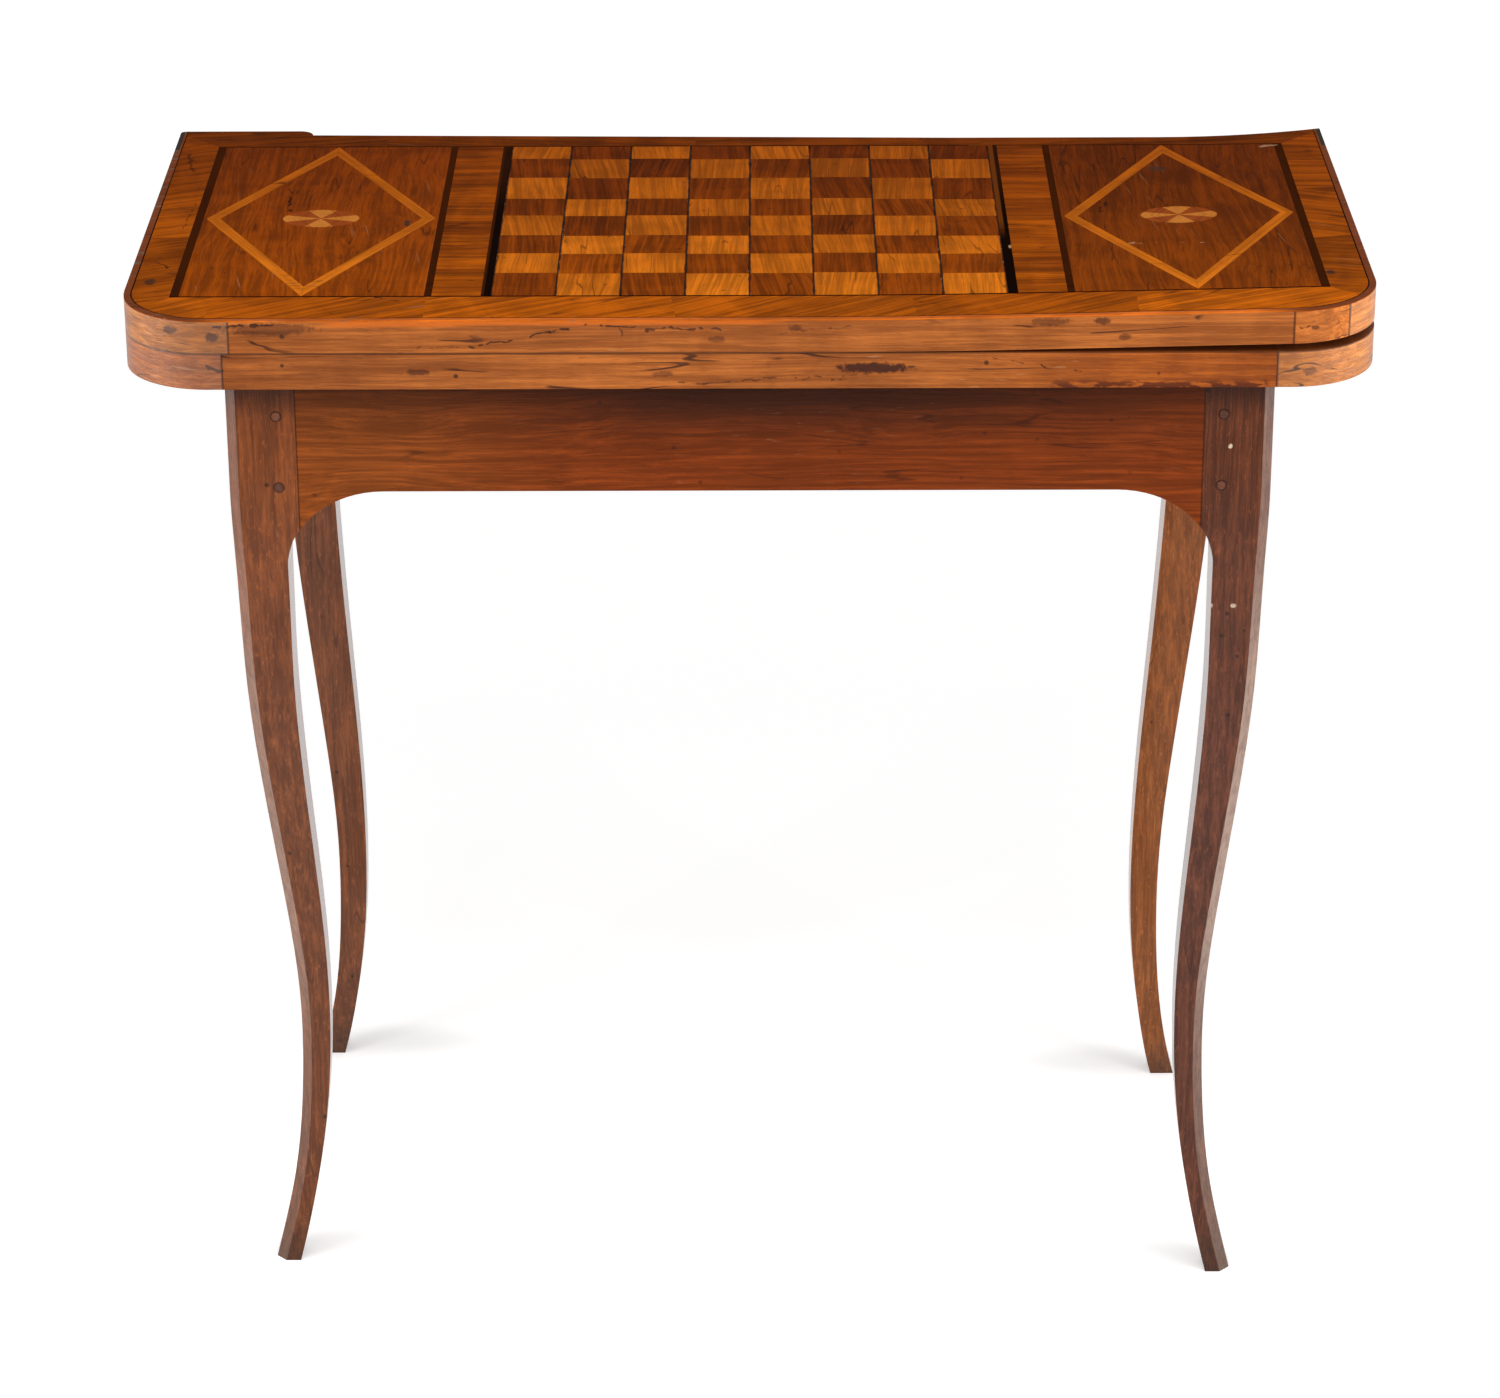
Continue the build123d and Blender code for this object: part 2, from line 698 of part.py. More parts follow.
# Upper leaf: the same build, warped up off the lower leaf at its front right corner
core_top = upper_leaf_thickness - veneer_thickness
upper_tongue_low = (core_top - tongue_thickness) / 2
tongue_left = left_seam_x - tongue_length
tongue_right = right_seam_x + tongue_length
upper_tongue = warped(
    strip_plan(tongue_left, tongue_right, tongue_front, back_edge - right_loss - tongue_stop),
    upper_tongue_low,
    upper_tongue_low + tongue_thickness,
)
upper_body = plan_within(upper_plan, without=strap_plans)
lipping_plan = strip_plan(left_seam_x, horn_end + left_loss, back_edge - left_loss)
patch_plan = strip_plan(right_seam_x, right_seam_x + patch_width, high_y=front_edge + patch_depth)
panel_strip = strip_plan(left_seam_x, right_seam_x)
with BuildPart() as upper_panel:
    add(warped(plan_within(upper_body, panel_strip, without=[lipping_plan]), 0, core_top))
    add(upper_tongue)
    add(warped(baize_plan, -overrun, baize_recess), mode=Mode.SUBTRACT)
finish(upper_panel, "upper_panel")

with BuildPart() as upper_back_lipping:
    add(warped(plan_within(upper_body, lipping_plan), 0, core_top))
finish(upper_back_lipping, "upper_back_lipping")

upper_end_strips = {
    "left": strip_plan(-half_width - overrun, left_seam_x),
    "right": strip_plan(right_seam_x, half_width + overrun),
}
for side, hand in ((-1, "left"), (1, "right")):
    with BuildPart() as upper_cleat:
        add(warped(plan_within(upper_body, upper_end_strips[hand], without=[patch_plan]), 0, core_top))
        add(upper_tongue, mode=Mode.SUBTRACT)
        for pocket in eye_pockets:
            add(pocket, mode=Mode.SUBTRACT)
        add(screws(strap_screw_starts(side, True), (-side, 0, 0), peg_clearance), mode=Mode.SUBTRACT)
    finish(upper_cleat, f"upper_{hand}_cleat")

with BuildPart() as upper_right_patch:
    add(warped(plan_within(upper_body, patch_plan), 0, core_top))
    add(upper_tongue, mode=Mode.SUBTRACT)
finish(upper_right_patch, "upper_right_patch")

with BuildPart() as upper_baize:
    add(warped(baize_plan, baize_recess - baize_thickness, baize_recess))
finish(upper_baize, "upper_baize")

# Marquetry: chessboard and bands in the middle, borders along the edges, panels in what is left
columns = len(column_slip_shares)
board_half = cell * columns / 2
board_line_x = board_half + board_line_width
band_x = board_line_x + band_width
band_line_x = band_x + band_line_width
border_x = half_width - end_border_width
panel_x = border_x - outer_line_width
panel_width = panel_x - band_line_x
board_front = front_edge + front_border_width
board_back = back_edge - back_border_width
line_front = board_front + thin_line_width
line_back = board_back - thin_line_width


def lay(plan, name):
    """Cut a plan outline out of veneer, lay it on the upper leaf and write it out."""
    with BuildPart() as veneer:
        add(warped(plan, core_top, upper_leaf_thickness))
    finish(veneer, name)


def inset_field(inset):
    """Leaf outline drawn in by an inset along the front and the ends, and open at the back."""
    with BuildSketch() as field:
        add(strip_plan(inset - half_width, half_width - inset, front_edge + inset))
        fillet(field.vertices().group_by(Axis.Y)[0], radius=front_corner_radius - inset)
    return field.sketch


def polygon_plan(*corners):
    """Plan outline with straight sides through the corners given."""
    with BuildSketch() as outline:
        Polygon(*corners, align=None)
    return outline.sketch


# Edge strip, dark line inside it and mitred crossbanding
edge_field = inset_field(edge_strip_width)
border_field = plan_within(upper_body, inset_field(edge_strip_width + edge_line_width))
lay(plan_within(upper_body, without=[edge_field]), "edge_strip")
lay(plan_within(upper_body, edge_field, without=[border_field]), "edge_line")
reach = front_border_width + end_border_width + back_border_width
front_left = (-border_x, board_front)
front_right = (border_x, board_front)
back_left = (-border_x, board_back)
back_right = (border_x, board_back)
front_left_out = (-border_x - reach, board_front - reach)
front_right_out = (border_x + reach, board_front - reach)
back_left_out = (-border_x - reach, board_back + reach)
back_right_out = (border_x + reach, board_back + reach)
border_mitres = {
    "front_border": (front_left, front_right, front_right_out, front_left_out),
    "back_border": (back_left, back_right, back_right_out, back_left_out),
    "left_border": (front_left, back_left, back_left_out, front_left_out),
    "right_border": (front_right, back_right, back_right_out, front_right_out),
}
for name, corners in border_mitres.items():
    lay(plan_within(border_field, polygon_plan(*corners)), name)

# Dark lines
with BuildSketch() as cross_lines:
    for low, high in ((board_half, board_line_x), (band_x, band_line_x), (panel_x, border_x)):
        for side in (-1, 1):
            add(strip_plan(side * low, side * high, line_front, line_back))
lay(cross_lines.sketch, "cross_lines")
with BuildSketch() as long_lines:
    add(strip_plan(-border_x, border_x, board_front, line_front))
    add(strip_plan(-border_x, border_x, line_back, board_back))
lay(long_lines.sketch, "long_lines")

# Bands beside the chessboard
lay(strip_plan(-band_x, -board_line_x, line_front, line_back), "left_inner_band")
lay(strip_plan(board_line_x, band_x, line_front, line_back), "right_inner_band")


# Chessboard: eight strips of squares glued side by side, their cross joints a little out of line
def square_plan(column, row):
    """One square, narrower than its cell by the open joint between the strips."""
    depth = line_back - line_front
    slips = [0] + [column_slip_shares[column] * cell] * (len(row_joint_shares) - 2) + [0]
    joints = [line_front + depth * share + slip for share, slip in zip(row_joint_shares, slips)]
    low_x = cell * column - board_half
    return strip_plan(
        low_x + column_joint / 2,
        low_x + cell - column_joint / 2,
        joints[row] + veneer_joint / 2,
        joints[row + 1] - veneer_joint / 2,
    )


for parity, name in ((0, "dark_squares"), (1, "light_squares")):
    with BuildSketch() as squares:
        for column in range(columns):
            for row in range(len(row_joint_shares) - 1):
                if (column + row) % 2 == parity:
                    add(square_plan(column, row))
    lay(squares.sketch, name)


# Side panels: a lozenge of light strips and a fan patera at its centre
panel_centre_y = (line_front + line_back) / 2
lozenge_half_x = panel_width / 2 - lozenge_side_gap
lozenge_half_y = (line_back - line_front) / 2
lozenge_side = sqrt(lozenge_half_x**2 + lozenge_half_y**2)
strip_shrink_share = 1 - lozenge_strip_width * lozenge_side / (lozenge_half_x * lozenge_half_y)


def lozenge_plan(centre_x, scale):
    """Rhombus about the middle of a panel."""
    return polygon_plan(
        (centre_x - lozenge_half_x * scale, panel_centre_y),
        (centre_x, panel_centre_y - lozenge_half_y * scale),
        (centre_x + lozenge_half_x * scale, panel_centre_y),
        (centre_x, panel_centre_y + lozenge_half_y * scale),
    )


def petal_plan(centre_x, parity):
    """Every other petal of the patera, each with a rounded tip."""
    step = 2 * pi / petal_count
    with BuildSketch() as petals:
        for petal in range(parity, petal_count, 2):
            tips = []
            for turn in (petal - 1 / 2, petal, petal + 1 / 2):
                swell = petal_swell_share if turn == petal else 1
                tips.append(
                    (
                        centre_x + swell * cos(turn * step) * patera_length / 2,
                        panel_centre_y + swell * sin(turn * step) * patera_height / 2,
                    )
                )
            with BuildLine():
                start = Line((centre_x, panel_centre_y), tips[0])
                ThreePointArc(*tips)
                Line(tips[2], start @ 0)
            make_face()
        with Locations((centre_x, panel_centre_y)):
            RegularPolygon(patera_eye_radius, side_count=petal_count, rotation=180 / petal_count, mode=Mode.SUBTRACT)
    return petals.sketch


def mitre_joints(centre_x):
    """Hairline joints between the four lozenge strips, along the rhombus's two axes."""
    with BuildSketch() as joints:
        with Locations((centre_x, panel_centre_y)):
            Rectangle(panel_width, veneer_joint)
            Rectangle(veneer_joint, line_back - line_front)
    return joints.sketch


panel_centre_x = band_line_x + panel_width / 2
petals = [petal_plan(side * panel_centre_x, parity) for side in (-1, 1) for parity in (0, 1)]
for parity, name in ((0, "light_petals"), (1, "dark_petals")):
    with BuildSketch() as both_sides:
        add(petals[parity])
        add(petals[parity + 2])
    lay(both_sides.sketch, name)
for side, hand in ((-1, "left"), (1, "right")):
    centre_x = side * panel_centre_x
    whole = lozenge_plan(centre_x, 1)
    inside = lozenge_plan(centre_x, strip_shrink_share)
    ground = strip_plan(centre_x - panel_width / 2, centre_x + panel_width / 2, line_front, line_back)
    lay(plan_within(ground, without=[whole]), f"{hand}_panel_corners")
    lay(plan_within(inside, without=petals), f"{hand}_lozenge_field")
    lay(plan_within(whole, without=[inside, mitre_joints(centre_x)]), f"{hand}_lozenge_strips")
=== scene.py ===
"""Dresses the folding games table: woods, marquetry, ironwork, baize linings and a plain stage."""

from math import cos, radians, sin, tan

import bpy
import numpy as np
from mathutils import Matrix, Vector


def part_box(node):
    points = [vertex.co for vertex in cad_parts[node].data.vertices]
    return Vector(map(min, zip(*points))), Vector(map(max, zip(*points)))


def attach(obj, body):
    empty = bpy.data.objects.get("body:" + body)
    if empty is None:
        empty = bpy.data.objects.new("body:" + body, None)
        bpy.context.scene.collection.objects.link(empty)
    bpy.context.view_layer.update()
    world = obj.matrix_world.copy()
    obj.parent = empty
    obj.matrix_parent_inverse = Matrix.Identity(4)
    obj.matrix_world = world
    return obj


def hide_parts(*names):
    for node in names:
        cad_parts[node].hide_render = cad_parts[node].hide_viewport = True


bl_info = {
    "name": "Folding Games Table",
    "version": (1, 0, 0),
    "blender": (4, 5, 0),
    "location": "3D View > Sidebar > Games Table",
    "description": "Finishes for a folding games table with a chessboard top",
    "category": "Object",
}

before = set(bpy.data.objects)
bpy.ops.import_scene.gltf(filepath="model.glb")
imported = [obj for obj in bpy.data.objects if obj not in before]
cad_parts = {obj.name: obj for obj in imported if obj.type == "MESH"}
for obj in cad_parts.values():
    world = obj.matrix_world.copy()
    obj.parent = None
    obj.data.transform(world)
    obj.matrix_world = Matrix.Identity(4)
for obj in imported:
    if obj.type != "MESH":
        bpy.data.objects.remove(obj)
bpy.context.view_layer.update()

# Edges, heights and middles of the table's pieces, in metres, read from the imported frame
leaf_low, leaf_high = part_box("lower_panel")
board_low, board_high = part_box("dark_squares")
strips_low, strips_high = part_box("right_lozenge_strips")
leg_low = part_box("front_left_leg")[0]
peg_low, peg_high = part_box("joint_pegs")
patch_low, patch_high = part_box("upper_right_patch")
front_y = leaf_low[1]
leaf_base_z = leaf_low[2]
seam_z = leaf_high[2]
flat_top_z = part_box("left_border")[1][2]
apron_low_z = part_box("well_bearers")[0][2]
board_half = board_high[0]
board_depth = board_high[1] - board_low[1]
lozenge_x = (strips_low[0] + strips_high[0]) / 2
lozenge_y = (strips_low[1] + strips_high[1]) / 2
upper_joints = ((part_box("upper_left_cleat")[1][0], patch_low[0], patch_high[0]), seam_z, patch_high[2])
lower_joints = ((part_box("lower_left_cleat")[1][0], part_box("lower_right_cleat")[0][0]), leaf_base_z, seam_z)

# Squares along each side of the chessboard, and the width of one
squares_a_side = 8
square = 2 * board_half / squares_a_side

# Sizes of posts and pegs as they are made, and where the feet stand, beside which the floor has painted
# shadows
post_width = 0.0465
peg_radius = 0.003
peg_inset = 0.0125
apron_reach = (-leg_low[0] - post_width, -leg_low[1] - post_width)
peg_places = (apron_reach[0] + peg_inset, apron_reach[1] + peg_inset)
peg_middle_z = (peg_low[2] + peg_high[2]) / 2
peg_spread = peg_high[2] - peg_middle_z - peg_radius
feet = ((-0.3403, -0.146), (0.3388, -0.165), (-0.3328, 0.174), (0.3213, 0.137))


def linear(red, green, blue):
    """Scene-linear colour of display values from 0 to 255."""
    display = np.array((red, green, blue)) / 255
    curved = ((display + 0.055) / 1.055) ** 2.4
    return tuple(np.where(display <= 0.04045, display / 12.92, curved).tolist())


def tone(colour, share):
    """A colour made lighter or darker."""
    return tuple(share * value for value in colour)


def tones(colour, light, dark):
    """A lighter and a darker tone of a colour."""
    return tone(colour, light), tone(colour, dark)


class Finish(bpy.types.PropertyGroup):
    """Colours and gloss of the finishes."""

    honey: bpy.props.FloatVectorProperty(
        name="Honey", description="Leaf edges, waxed and worn", subtype="COLOR", default=linear(170, 95, 40)
    )
    amber: bpy.props.FloatVectorProperty(
        name="Amber", description="Light squares and lozenges", subtype="COLOR", default=linear(236, 128, 24)
    )
    orange: bpy.props.FloatVectorProperty(
        name="Orange", description="Strip along the upper edge", subtype="COLOR", default=linear(210, 104, 28)
    )
    walnut: bpy.props.FloatVectorProperty(
        name="Walnut", description="Panels and dark squares", subtype="COLOR", default=linear(146, 66, 2)
    )
    chestnut: bpy.props.FloatVectorProperty(
        name="Chestnut", description="Borders and inner bands", subtype="COLOR", default=linear(176, 86, 5)
    )
    russet: bpy.props.FloatVectorProperty(
        name="Russet", description="Aprons", subtype="COLOR", default=linear(134, 58, 17)
    )
    ebony: bpy.props.FloatVectorProperty(
        name="Ebony", description="Dark lines, joints and cracks", subtype="COLOR", default=linear(26, 14, 10)
    )
    iron: bpy.props.FloatVectorProperty(
        name="Iron", description="Straps, rivets and pivot", subtype="COLOR", default=linear(44, 34, 28)
    )
    cloth: bpy.props.FloatVectorProperty(
        name="Cloth", description="Baize linings", subtype="COLOR", default=linear(46, 88, 56)
    )
    top_gloss: bpy.props.FloatProperty(
        name="Top gloss", description="Reflection of the waxed top", subtype="FACTOR", default=0.003
    )
    leg_gloss: bpy.props.FloatProperty(
        name="Leg gloss", description="Reflection of the legs", subtype="FACTOR", default=0.1
    )


class Studio(bpy.types.PropertyGroup):
    """Camera and lamps."""

    focal: bpy.props.FloatProperty(
        name="Focal length", description="Camera lens", unit="CAMERA", default=116.227
    )
    stand: bpy.props.FloatVectorProperty(
        name="Stand", description="Where the camera stands", unit="LENGTH", default=(0.0077, -3.2315, 1.8232)
    )
    turn: bpy.props.FloatProperty(
        name="Turn", description="Camera yaw", unit="ROTATION", default=radians(-0.1553)
    )
    tilt: bpy.props.FloatProperty(
        name="Tilt", description="Camera pitch", unit="ROTATION", default=radians(24.0572)
    )
    roll: bpy.props.FloatProperty(
        name="Roll", description="Camera roll", unit="ROTATION", default=radians(-0.2063)
    )
    sky: bpy.props.FloatProperty(name="Sky", description="Even light from all round", default=0.52)
    overhead: bpy.props.FloatProperty(
        name="Overhead", description="Softbox above and in front", unit="POWER", default=21.0
    )
    side: bpy.props.FloatProperty(
        name="Side", description="Each of the two front lamps", unit="POWER", default=23.0
    )
    flank: bpy.props.FloatProperty(
        name="Flank", description="Each of the two lamps beside the ends", unit="POWER", default=11.0
    )


# Node trees
class Tree:
    """A node tree with short calls that add nodes and join them."""

    def __init__(self, tree):
        self.tree = tree

    def feed(self, socket, value):
        """Link a socket to another one, or set its value."""
        if isinstance(value, bpy.types.NodeSocket):
            self.tree.links.new(value, socket)
        elif socket.type == "RGBA":
            socket.default_value = (*value[:3], 1)
        else:
            socket.default_value = value

    def add(self, kind, inputs, **settings):
        """Add a shader node, its inputs given by name or place."""
        node = self.tree.nodes.new("ShaderNode" + kind)
        for setting, value in settings.items():
            setattr(node, setting, value)
        for socket, value in inputs.items():
            self.feed(node.inputs[socket], value)
        return node

    def math(self, operation, *values):
        """Result of an operation on one to three values."""
        return self.add("Math", dict(enumerate(values)), operation=operation).outputs[0]

    def vector(self, operation, *values):
        """Result of an operation on vectors."""
        return self.add("VectorMath", dict(enumerate(values)), operation=operation).outputs[0]

    def product(self, first, *others):
        """Values multiplied with each other."""
        for other in others:
            first = self.math("MULTIPLY", first, other)
        return first

    def off(self, value, centre=0):
        """How far a value is from a centre."""
        return self.math("ABSOLUTE", self.math("SUBTRACT", value, centre) if centre else value)

    def length(self, vector):
        """Length of a vector."""
        return self.add("VectorMath", {0: vector}, operation="LENGTH").outputs["Value"]

    def split(self, vector):
        """X, Y and Z of a vector, or red, green and blue of a colour."""
        return self.add("SeparateXYZ", {0: vector}).outputs

    def join(self, x, y, z):
        """Vector of three values."""
        return self.add("CombineXYZ", {0: x, 1: y, 2: z}).outputs[0]

    def turned(self, vector, angle):
        """Pattern turned about the upright axis."""
        inputs = {"Vector": vector, "Angle": angle}
        return self.add("VectorRotate", inputs, rotation_type="Z_AXIS").outputs[0]

    def noise(self, vector, scale=(1, 1, 1), detail=2, roughness=0.5, distortion=0):
        """Noise with a scale along each axis, the finer the larger."""
        inputs = {
            "Vector": self.vector("MULTIPLY", vector, scale),
            "Scale": 1,
            "Detail": detail,
            "Roughness": roughness,
            "Distortion": distortion,
        }
        return self.add("TexNoise", inputs).outputs[0]

    def chance(self, x, y, z):
        """Fixed random value and colour of a cell."""
        return self.add("TexWhiteNoise", {"Vector": self.join(x, y, z)}, noise_dimensions="3D").outputs

    def smooth(self, value, low, high):
        """Soft step from 0 to 1 between two values."""
        inputs = {0: value, 1: low, 2: high, 3: 0, 4: 1}
        return self.add("MapRange", inputs, interpolation_type="SMOOTHSTEP").outputs[0]

    def within(self, value, low, high, soft):
        """1 between two values, with soft ends."""
        return self.product(self.smooth(value, low - soft, low), self.smooth(value, high + soft, high))

    def mix(self, share, first, second, blend="MIX"):
        """Colour between two colours."""
        inputs = {0: share, 6: first, 7: second}
        return self.add("Mix", inputs, data_type="RGBA", blend_type=blend).outputs[2]

    def times(self, colour, shade):
        """Colour multiplied by a shade."""
        return self.mix(1, colour, shade, "MULTIPLY")

    def laid(self, colour, ink, mask, share=1):
        """Colour with ink laid over it where a mask is, as strong as a share."""
        strength = mask if share == 1 else self.math("MULTIPLY", mask, share)
        return self.mix(strength, colour, ink)

    def facing(self):
        """X, Y and Z of the way that the surface faces."""
        return self.split(self.add("TexCoord", {}).outputs["Normal"])

    def group(self, name, **inputs):
        """Add one of the shared groups."""
        node = self.tree.nodes.new("ShaderNodeGroup")
        node.node_tree = bpy.data.node_groups[name]
        for socket, value in inputs.items():
            self.feed(node.inputs[socket], value)
        return node.outputs


def new_group(name, inputs, outputs):
    """Start a shared node group with its sockets."""
    group = bpy.data.node_groups.new(name, "ShaderNodeTree")
    for side, sockets in (("INPUT", inputs), ("OUTPUT", outputs)):
        for socket, kind in sockets.items():
            group.interface.new_socket(name=socket, in_out=side, socket_type="NodeSocket" + kind)
    given = group.nodes.new("NodeGroupInput").outputs
    return Tree(group), given, group.nodes.new("NodeGroupOutput").inputs


def timber_group():
    """Sawn wood with its grain along X: bands, fibres, patches of figure and dark streaks."""
    sockets = {"Vector": "Vector", "Light": "Color", "Dark": "Color"}
    for name in ("Seed", "Coarse", "Wander", "Streaks", "Figure"):
        sockets[name] = "Float"
    tree, given, result = new_group("Timber", sockets, {"Color": "Color", "Height": "Float"})
    seed = given["Seed"]
    dark = given["Dark"]
    seeded = tree.vector("MULTIPLY", tree.join(seed, seed, seed), (1.37, 2.91, 4.13))
    place = tree.vector("ADD", given["Vector"], seeded)
    wander = tree.math("SUBTRACT", tree.noise(place, (5, 14, 14)), 0.5)
    drift = tree.math("MULTIPLY", wander, given["Wander"])
    bent = tree.vector("ADD", place, tree.join(0, drift, drift))
    across = tree.math("MULTIPLY", given["Coarse"], 75)
    bands = tree.smooth(tree.noise(bent, tree.join(3.5, across, across), 5, 0.66), 0.36, 0.64)
    fibres = tree.smooth(tree.noise(bent, (14, 430, 430), 4, 0.7), 0.38, 0.62)
    patches = tree.smooth(tree.noise(place, (22, 9, 9), 3, 0.55, 0.8), 0.3, 0.7)
    depth = tree.math("MULTIPLY_ADD", fibres, 0.3, tree.math("MULTIPLY", bands, 0.4))
    depth = tree.smooth(tree.math("MULTIPLY_ADD", patches, given["Figure"], depth), 0.08, 0.92)
    colour = tree.mix(depth, dark, given["Light"])
    streaks = tree.smooth(tree.noise(bent, (2.5, 48, 48), 4, 0.6), 0.55, 0.72)
    colour = tree.laid(colour, tree.times(dark, (0.42, 0.36, 0.34)), streaks, given["Streaks"])
    hairs = tree.smooth(tree.noise(bent, (16, 640, 640), 1), 0.54, 0.62)
    colour = tree.laid(colour, dark, hairs, 0.26)
    pores = tree.smooth(tree.noise(bent, (90, 1100, 1100), 1), 0.63, 0.72)
    colour = tree.laid(colour, dark, pores, 0.4)
    tree.feed(result["Color"], colour)
    tree.feed(result["Height"], tree.math("SUBTRACT", fibres, pores))


def wear_group():
    """Age along the grain in X, as masks: hairline cracks, fine scratches, patches of grime, small pits."""
    masks = {"Cracks": "Float", "Scratches": "Float", "Grime": "Float", "Pits": "Float"}
    tree, given, result = new_group("Wear", {"Vector": "Vector", "Seed": "Float"}, masks)
    place = tree.vector("ADD", given["Vector"], tree.join(given["Seed"], 0, 0))
    line = tree.smooth(tree.off(tree.noise(place, (5, 60, 60), 1.5), 0.5), 0.011, 0.004)
    where = tree.smooth(tree.noise(place, (21, 34, 34), 1), 0.52, 0.6)
    tree.feed(result["Cracks"], tree.product(line, where))
    fine = tree.smooth(tree.noise(tree.turned(place, 0.15), (14, 420, 420)), 0.66, 0.72)
    rubbed = tree.smooth(tree.noise(place, (12, 12, 12)), 0.5, 0.65)
    tree.feed(result["Scratches"], tree.product(fine, rubbed))
    tree.feed(result["Grime"], tree.smooth(tree.noise(place, (11, 16, 16), 6, 0.68), 0.5, 0.75))
    cells = tree.add("TexVoronoi", {"Vector": place, "Scale": 62}).outputs
    chosen = tree.smooth(tree.split(cells["Color"])[0], 0.7, 0.72)
    tree.feed(result["Pits"], tree.product(tree.smooth(cells["Distance"], 0.13, 0.07), chosen))


def spot_group():
    """Mask of one ragged oval mark."""
    sockets = {"Vector": "Vector", "Ragged": "Float", "Centre": "Vector", "Size": "Vector"}
    tree, given, result = new_group("Spot", sockets, {"Mask": "Float"})
    away = tree.vector("DIVIDE", tree.vector("SUBTRACT", given["Vector"], given["Centre"]), given["Size"])
    reach = tree.math("MULTIPLY_ADD", given["Ragged"], 1.25, tree.length(away))
    tree.feed(result["Mask"], tree.smooth(reach, 1.7, 1.2))


def crack_group():
    """Mask of one line between two places."""
    sockets = {"Vector": "Vector", "Start": "Vector", "End": "Vector", "Width": "Float"}
    tree, given, result = new_group("Crack", sockets, {"Mask": "Float"})
    from_start = tree.vector("SUBTRACT", given["Vector"], given["Start"])
    whole = tree.vector("SUBTRACT", given["End"], given["Start"])
    dots = [
        tree.add("VectorMath", {0: first, 1: whole}, operation="DOT_PRODUCT").outputs["Value"]
        for first in (from_start, whole)
    ]
    along = tree.add("Math", {0: dots[0], 1: dots[1]}, operation="DIVIDE", use_clamp=True).outputs[0]
    nearest = tree.vector("MULTIPLY", whole, tree.join(along, along, along))
    gap = tree.length(tree.vector("SUBTRACT", from_start, nearest))
    tree.feed(result["Mask"], tree.smooth(tree.math("DIVIDE", gap, given["Width"]), 1, 0.45))


# Marks on the top, in plan, and on the front, as X and Z, each with its strength last: a crack or rub
# has its two ends and its width, a spot its centre and its half sizes
top_cracks = (
    ((-0.3276, 0.078), (-0.3237, 0.018), 0.0012, 0.9),
    ((-0.318, 0.135), (-0.3295, 0.075), 0.0008, 0.7),
    ((-0.275, 0.09), (-0.284, 0.03), 0.0007, 0.5),
    ((-0.24, 0.0), (-0.215, 0.012), 0.001, 0.6),
    ((0.3446, -0.0718), (0.3443, -0.1467), 0.001, 0.8),
    ((0.3, 0.048), (0.302, -0.05), 0.0006, 0.5),
    ((-0.21, -0.06), (-0.205, -0.13), 0.0007, 0.5),
    ((0.252, 0.034), (0.246, 0.012), 0.0014, 0.7),
)
border_cracks = (
    ((-0.408, 0.15), (-0.402, 0.11), 0.0016, 0.6),
    ((-0.3925, 0.035), (-0.395, -0.02), 0.0012, 0.5),
    ((-0.406, -0.09), (-0.396, -0.104), 0.0012, 0.7),
    ((-0.255, -0.164), (-0.233, -0.173), 0.0012, 0.8),
    ((0.09, -0.17), (0.125, -0.182), 0.001, 0.5),
)
top_rubs = (
    ((0.2604, -0.0604), (0.3358, -0.0632), 0.002, 0.75),
    ((0.3292, -0.1506), (0.3895, -0.1511), 0.0016, 0.8),
    ((0.372, 0.16), (0.385, 0.163), 0.002, 0.6),
)
top_spots = (
    ((-0.2394, -0.0085), (0.0032, 0.007), 0.8),
    ((0.2938, 0.1093), (0.008, 0.0065), 0.6),
    ((-0.4047, -0.1323), (0.0042, 0.007), 0.75),
    ((0.3915, -0.1327), (0.0036, 0.006), 0.85),
)
line_chips = (((0.179, -0.064), (0.0014, 0.004), 0.8),)
front_cracks = (
    ((-0.354, 0.7448), (-0.312, 0.7458), 0.0012, 0.9),
    ((-0.345, 0.7395), (-0.318, 0.7412), 0.0008, 0.7),
    ((-0.1849, 0.7305), (-0.1317, 0.74), 0.001, 0.85),
    ((-0.1317, 0.74), (-0.108, 0.7452), 0.0013, 0.9),
    ((-0.225, 0.731), (-0.1849, 0.7305), 0.0006, 0.6),
    ((-0.099, 0.7445), (-0.02, 0.742), 0.0012, 0.75),
    ((0.1592, 0.721), (0.2191, 0.7116), 0.0006, 0.8),
    ((0.11, 0.716), (0.055, 0.706), 0.0008, 0.6),
    ((-0.055, 0.704), (0.07, 0.7095), 0.0009, 0.6),
    ((0.02, 0.74), (0.07, 0.744), 0.0007, 0.5),
    ((-0.3609, 0.7182), (-0.3499, 0.7132), 0.0013, 0.8),
    ((-0.0855, 0.746), (-0.085, 0.733), 0.0007, 0.6),
    ((0.378, 0.7455), (0.364, 0.7425), 0.0009, 0.8),
)
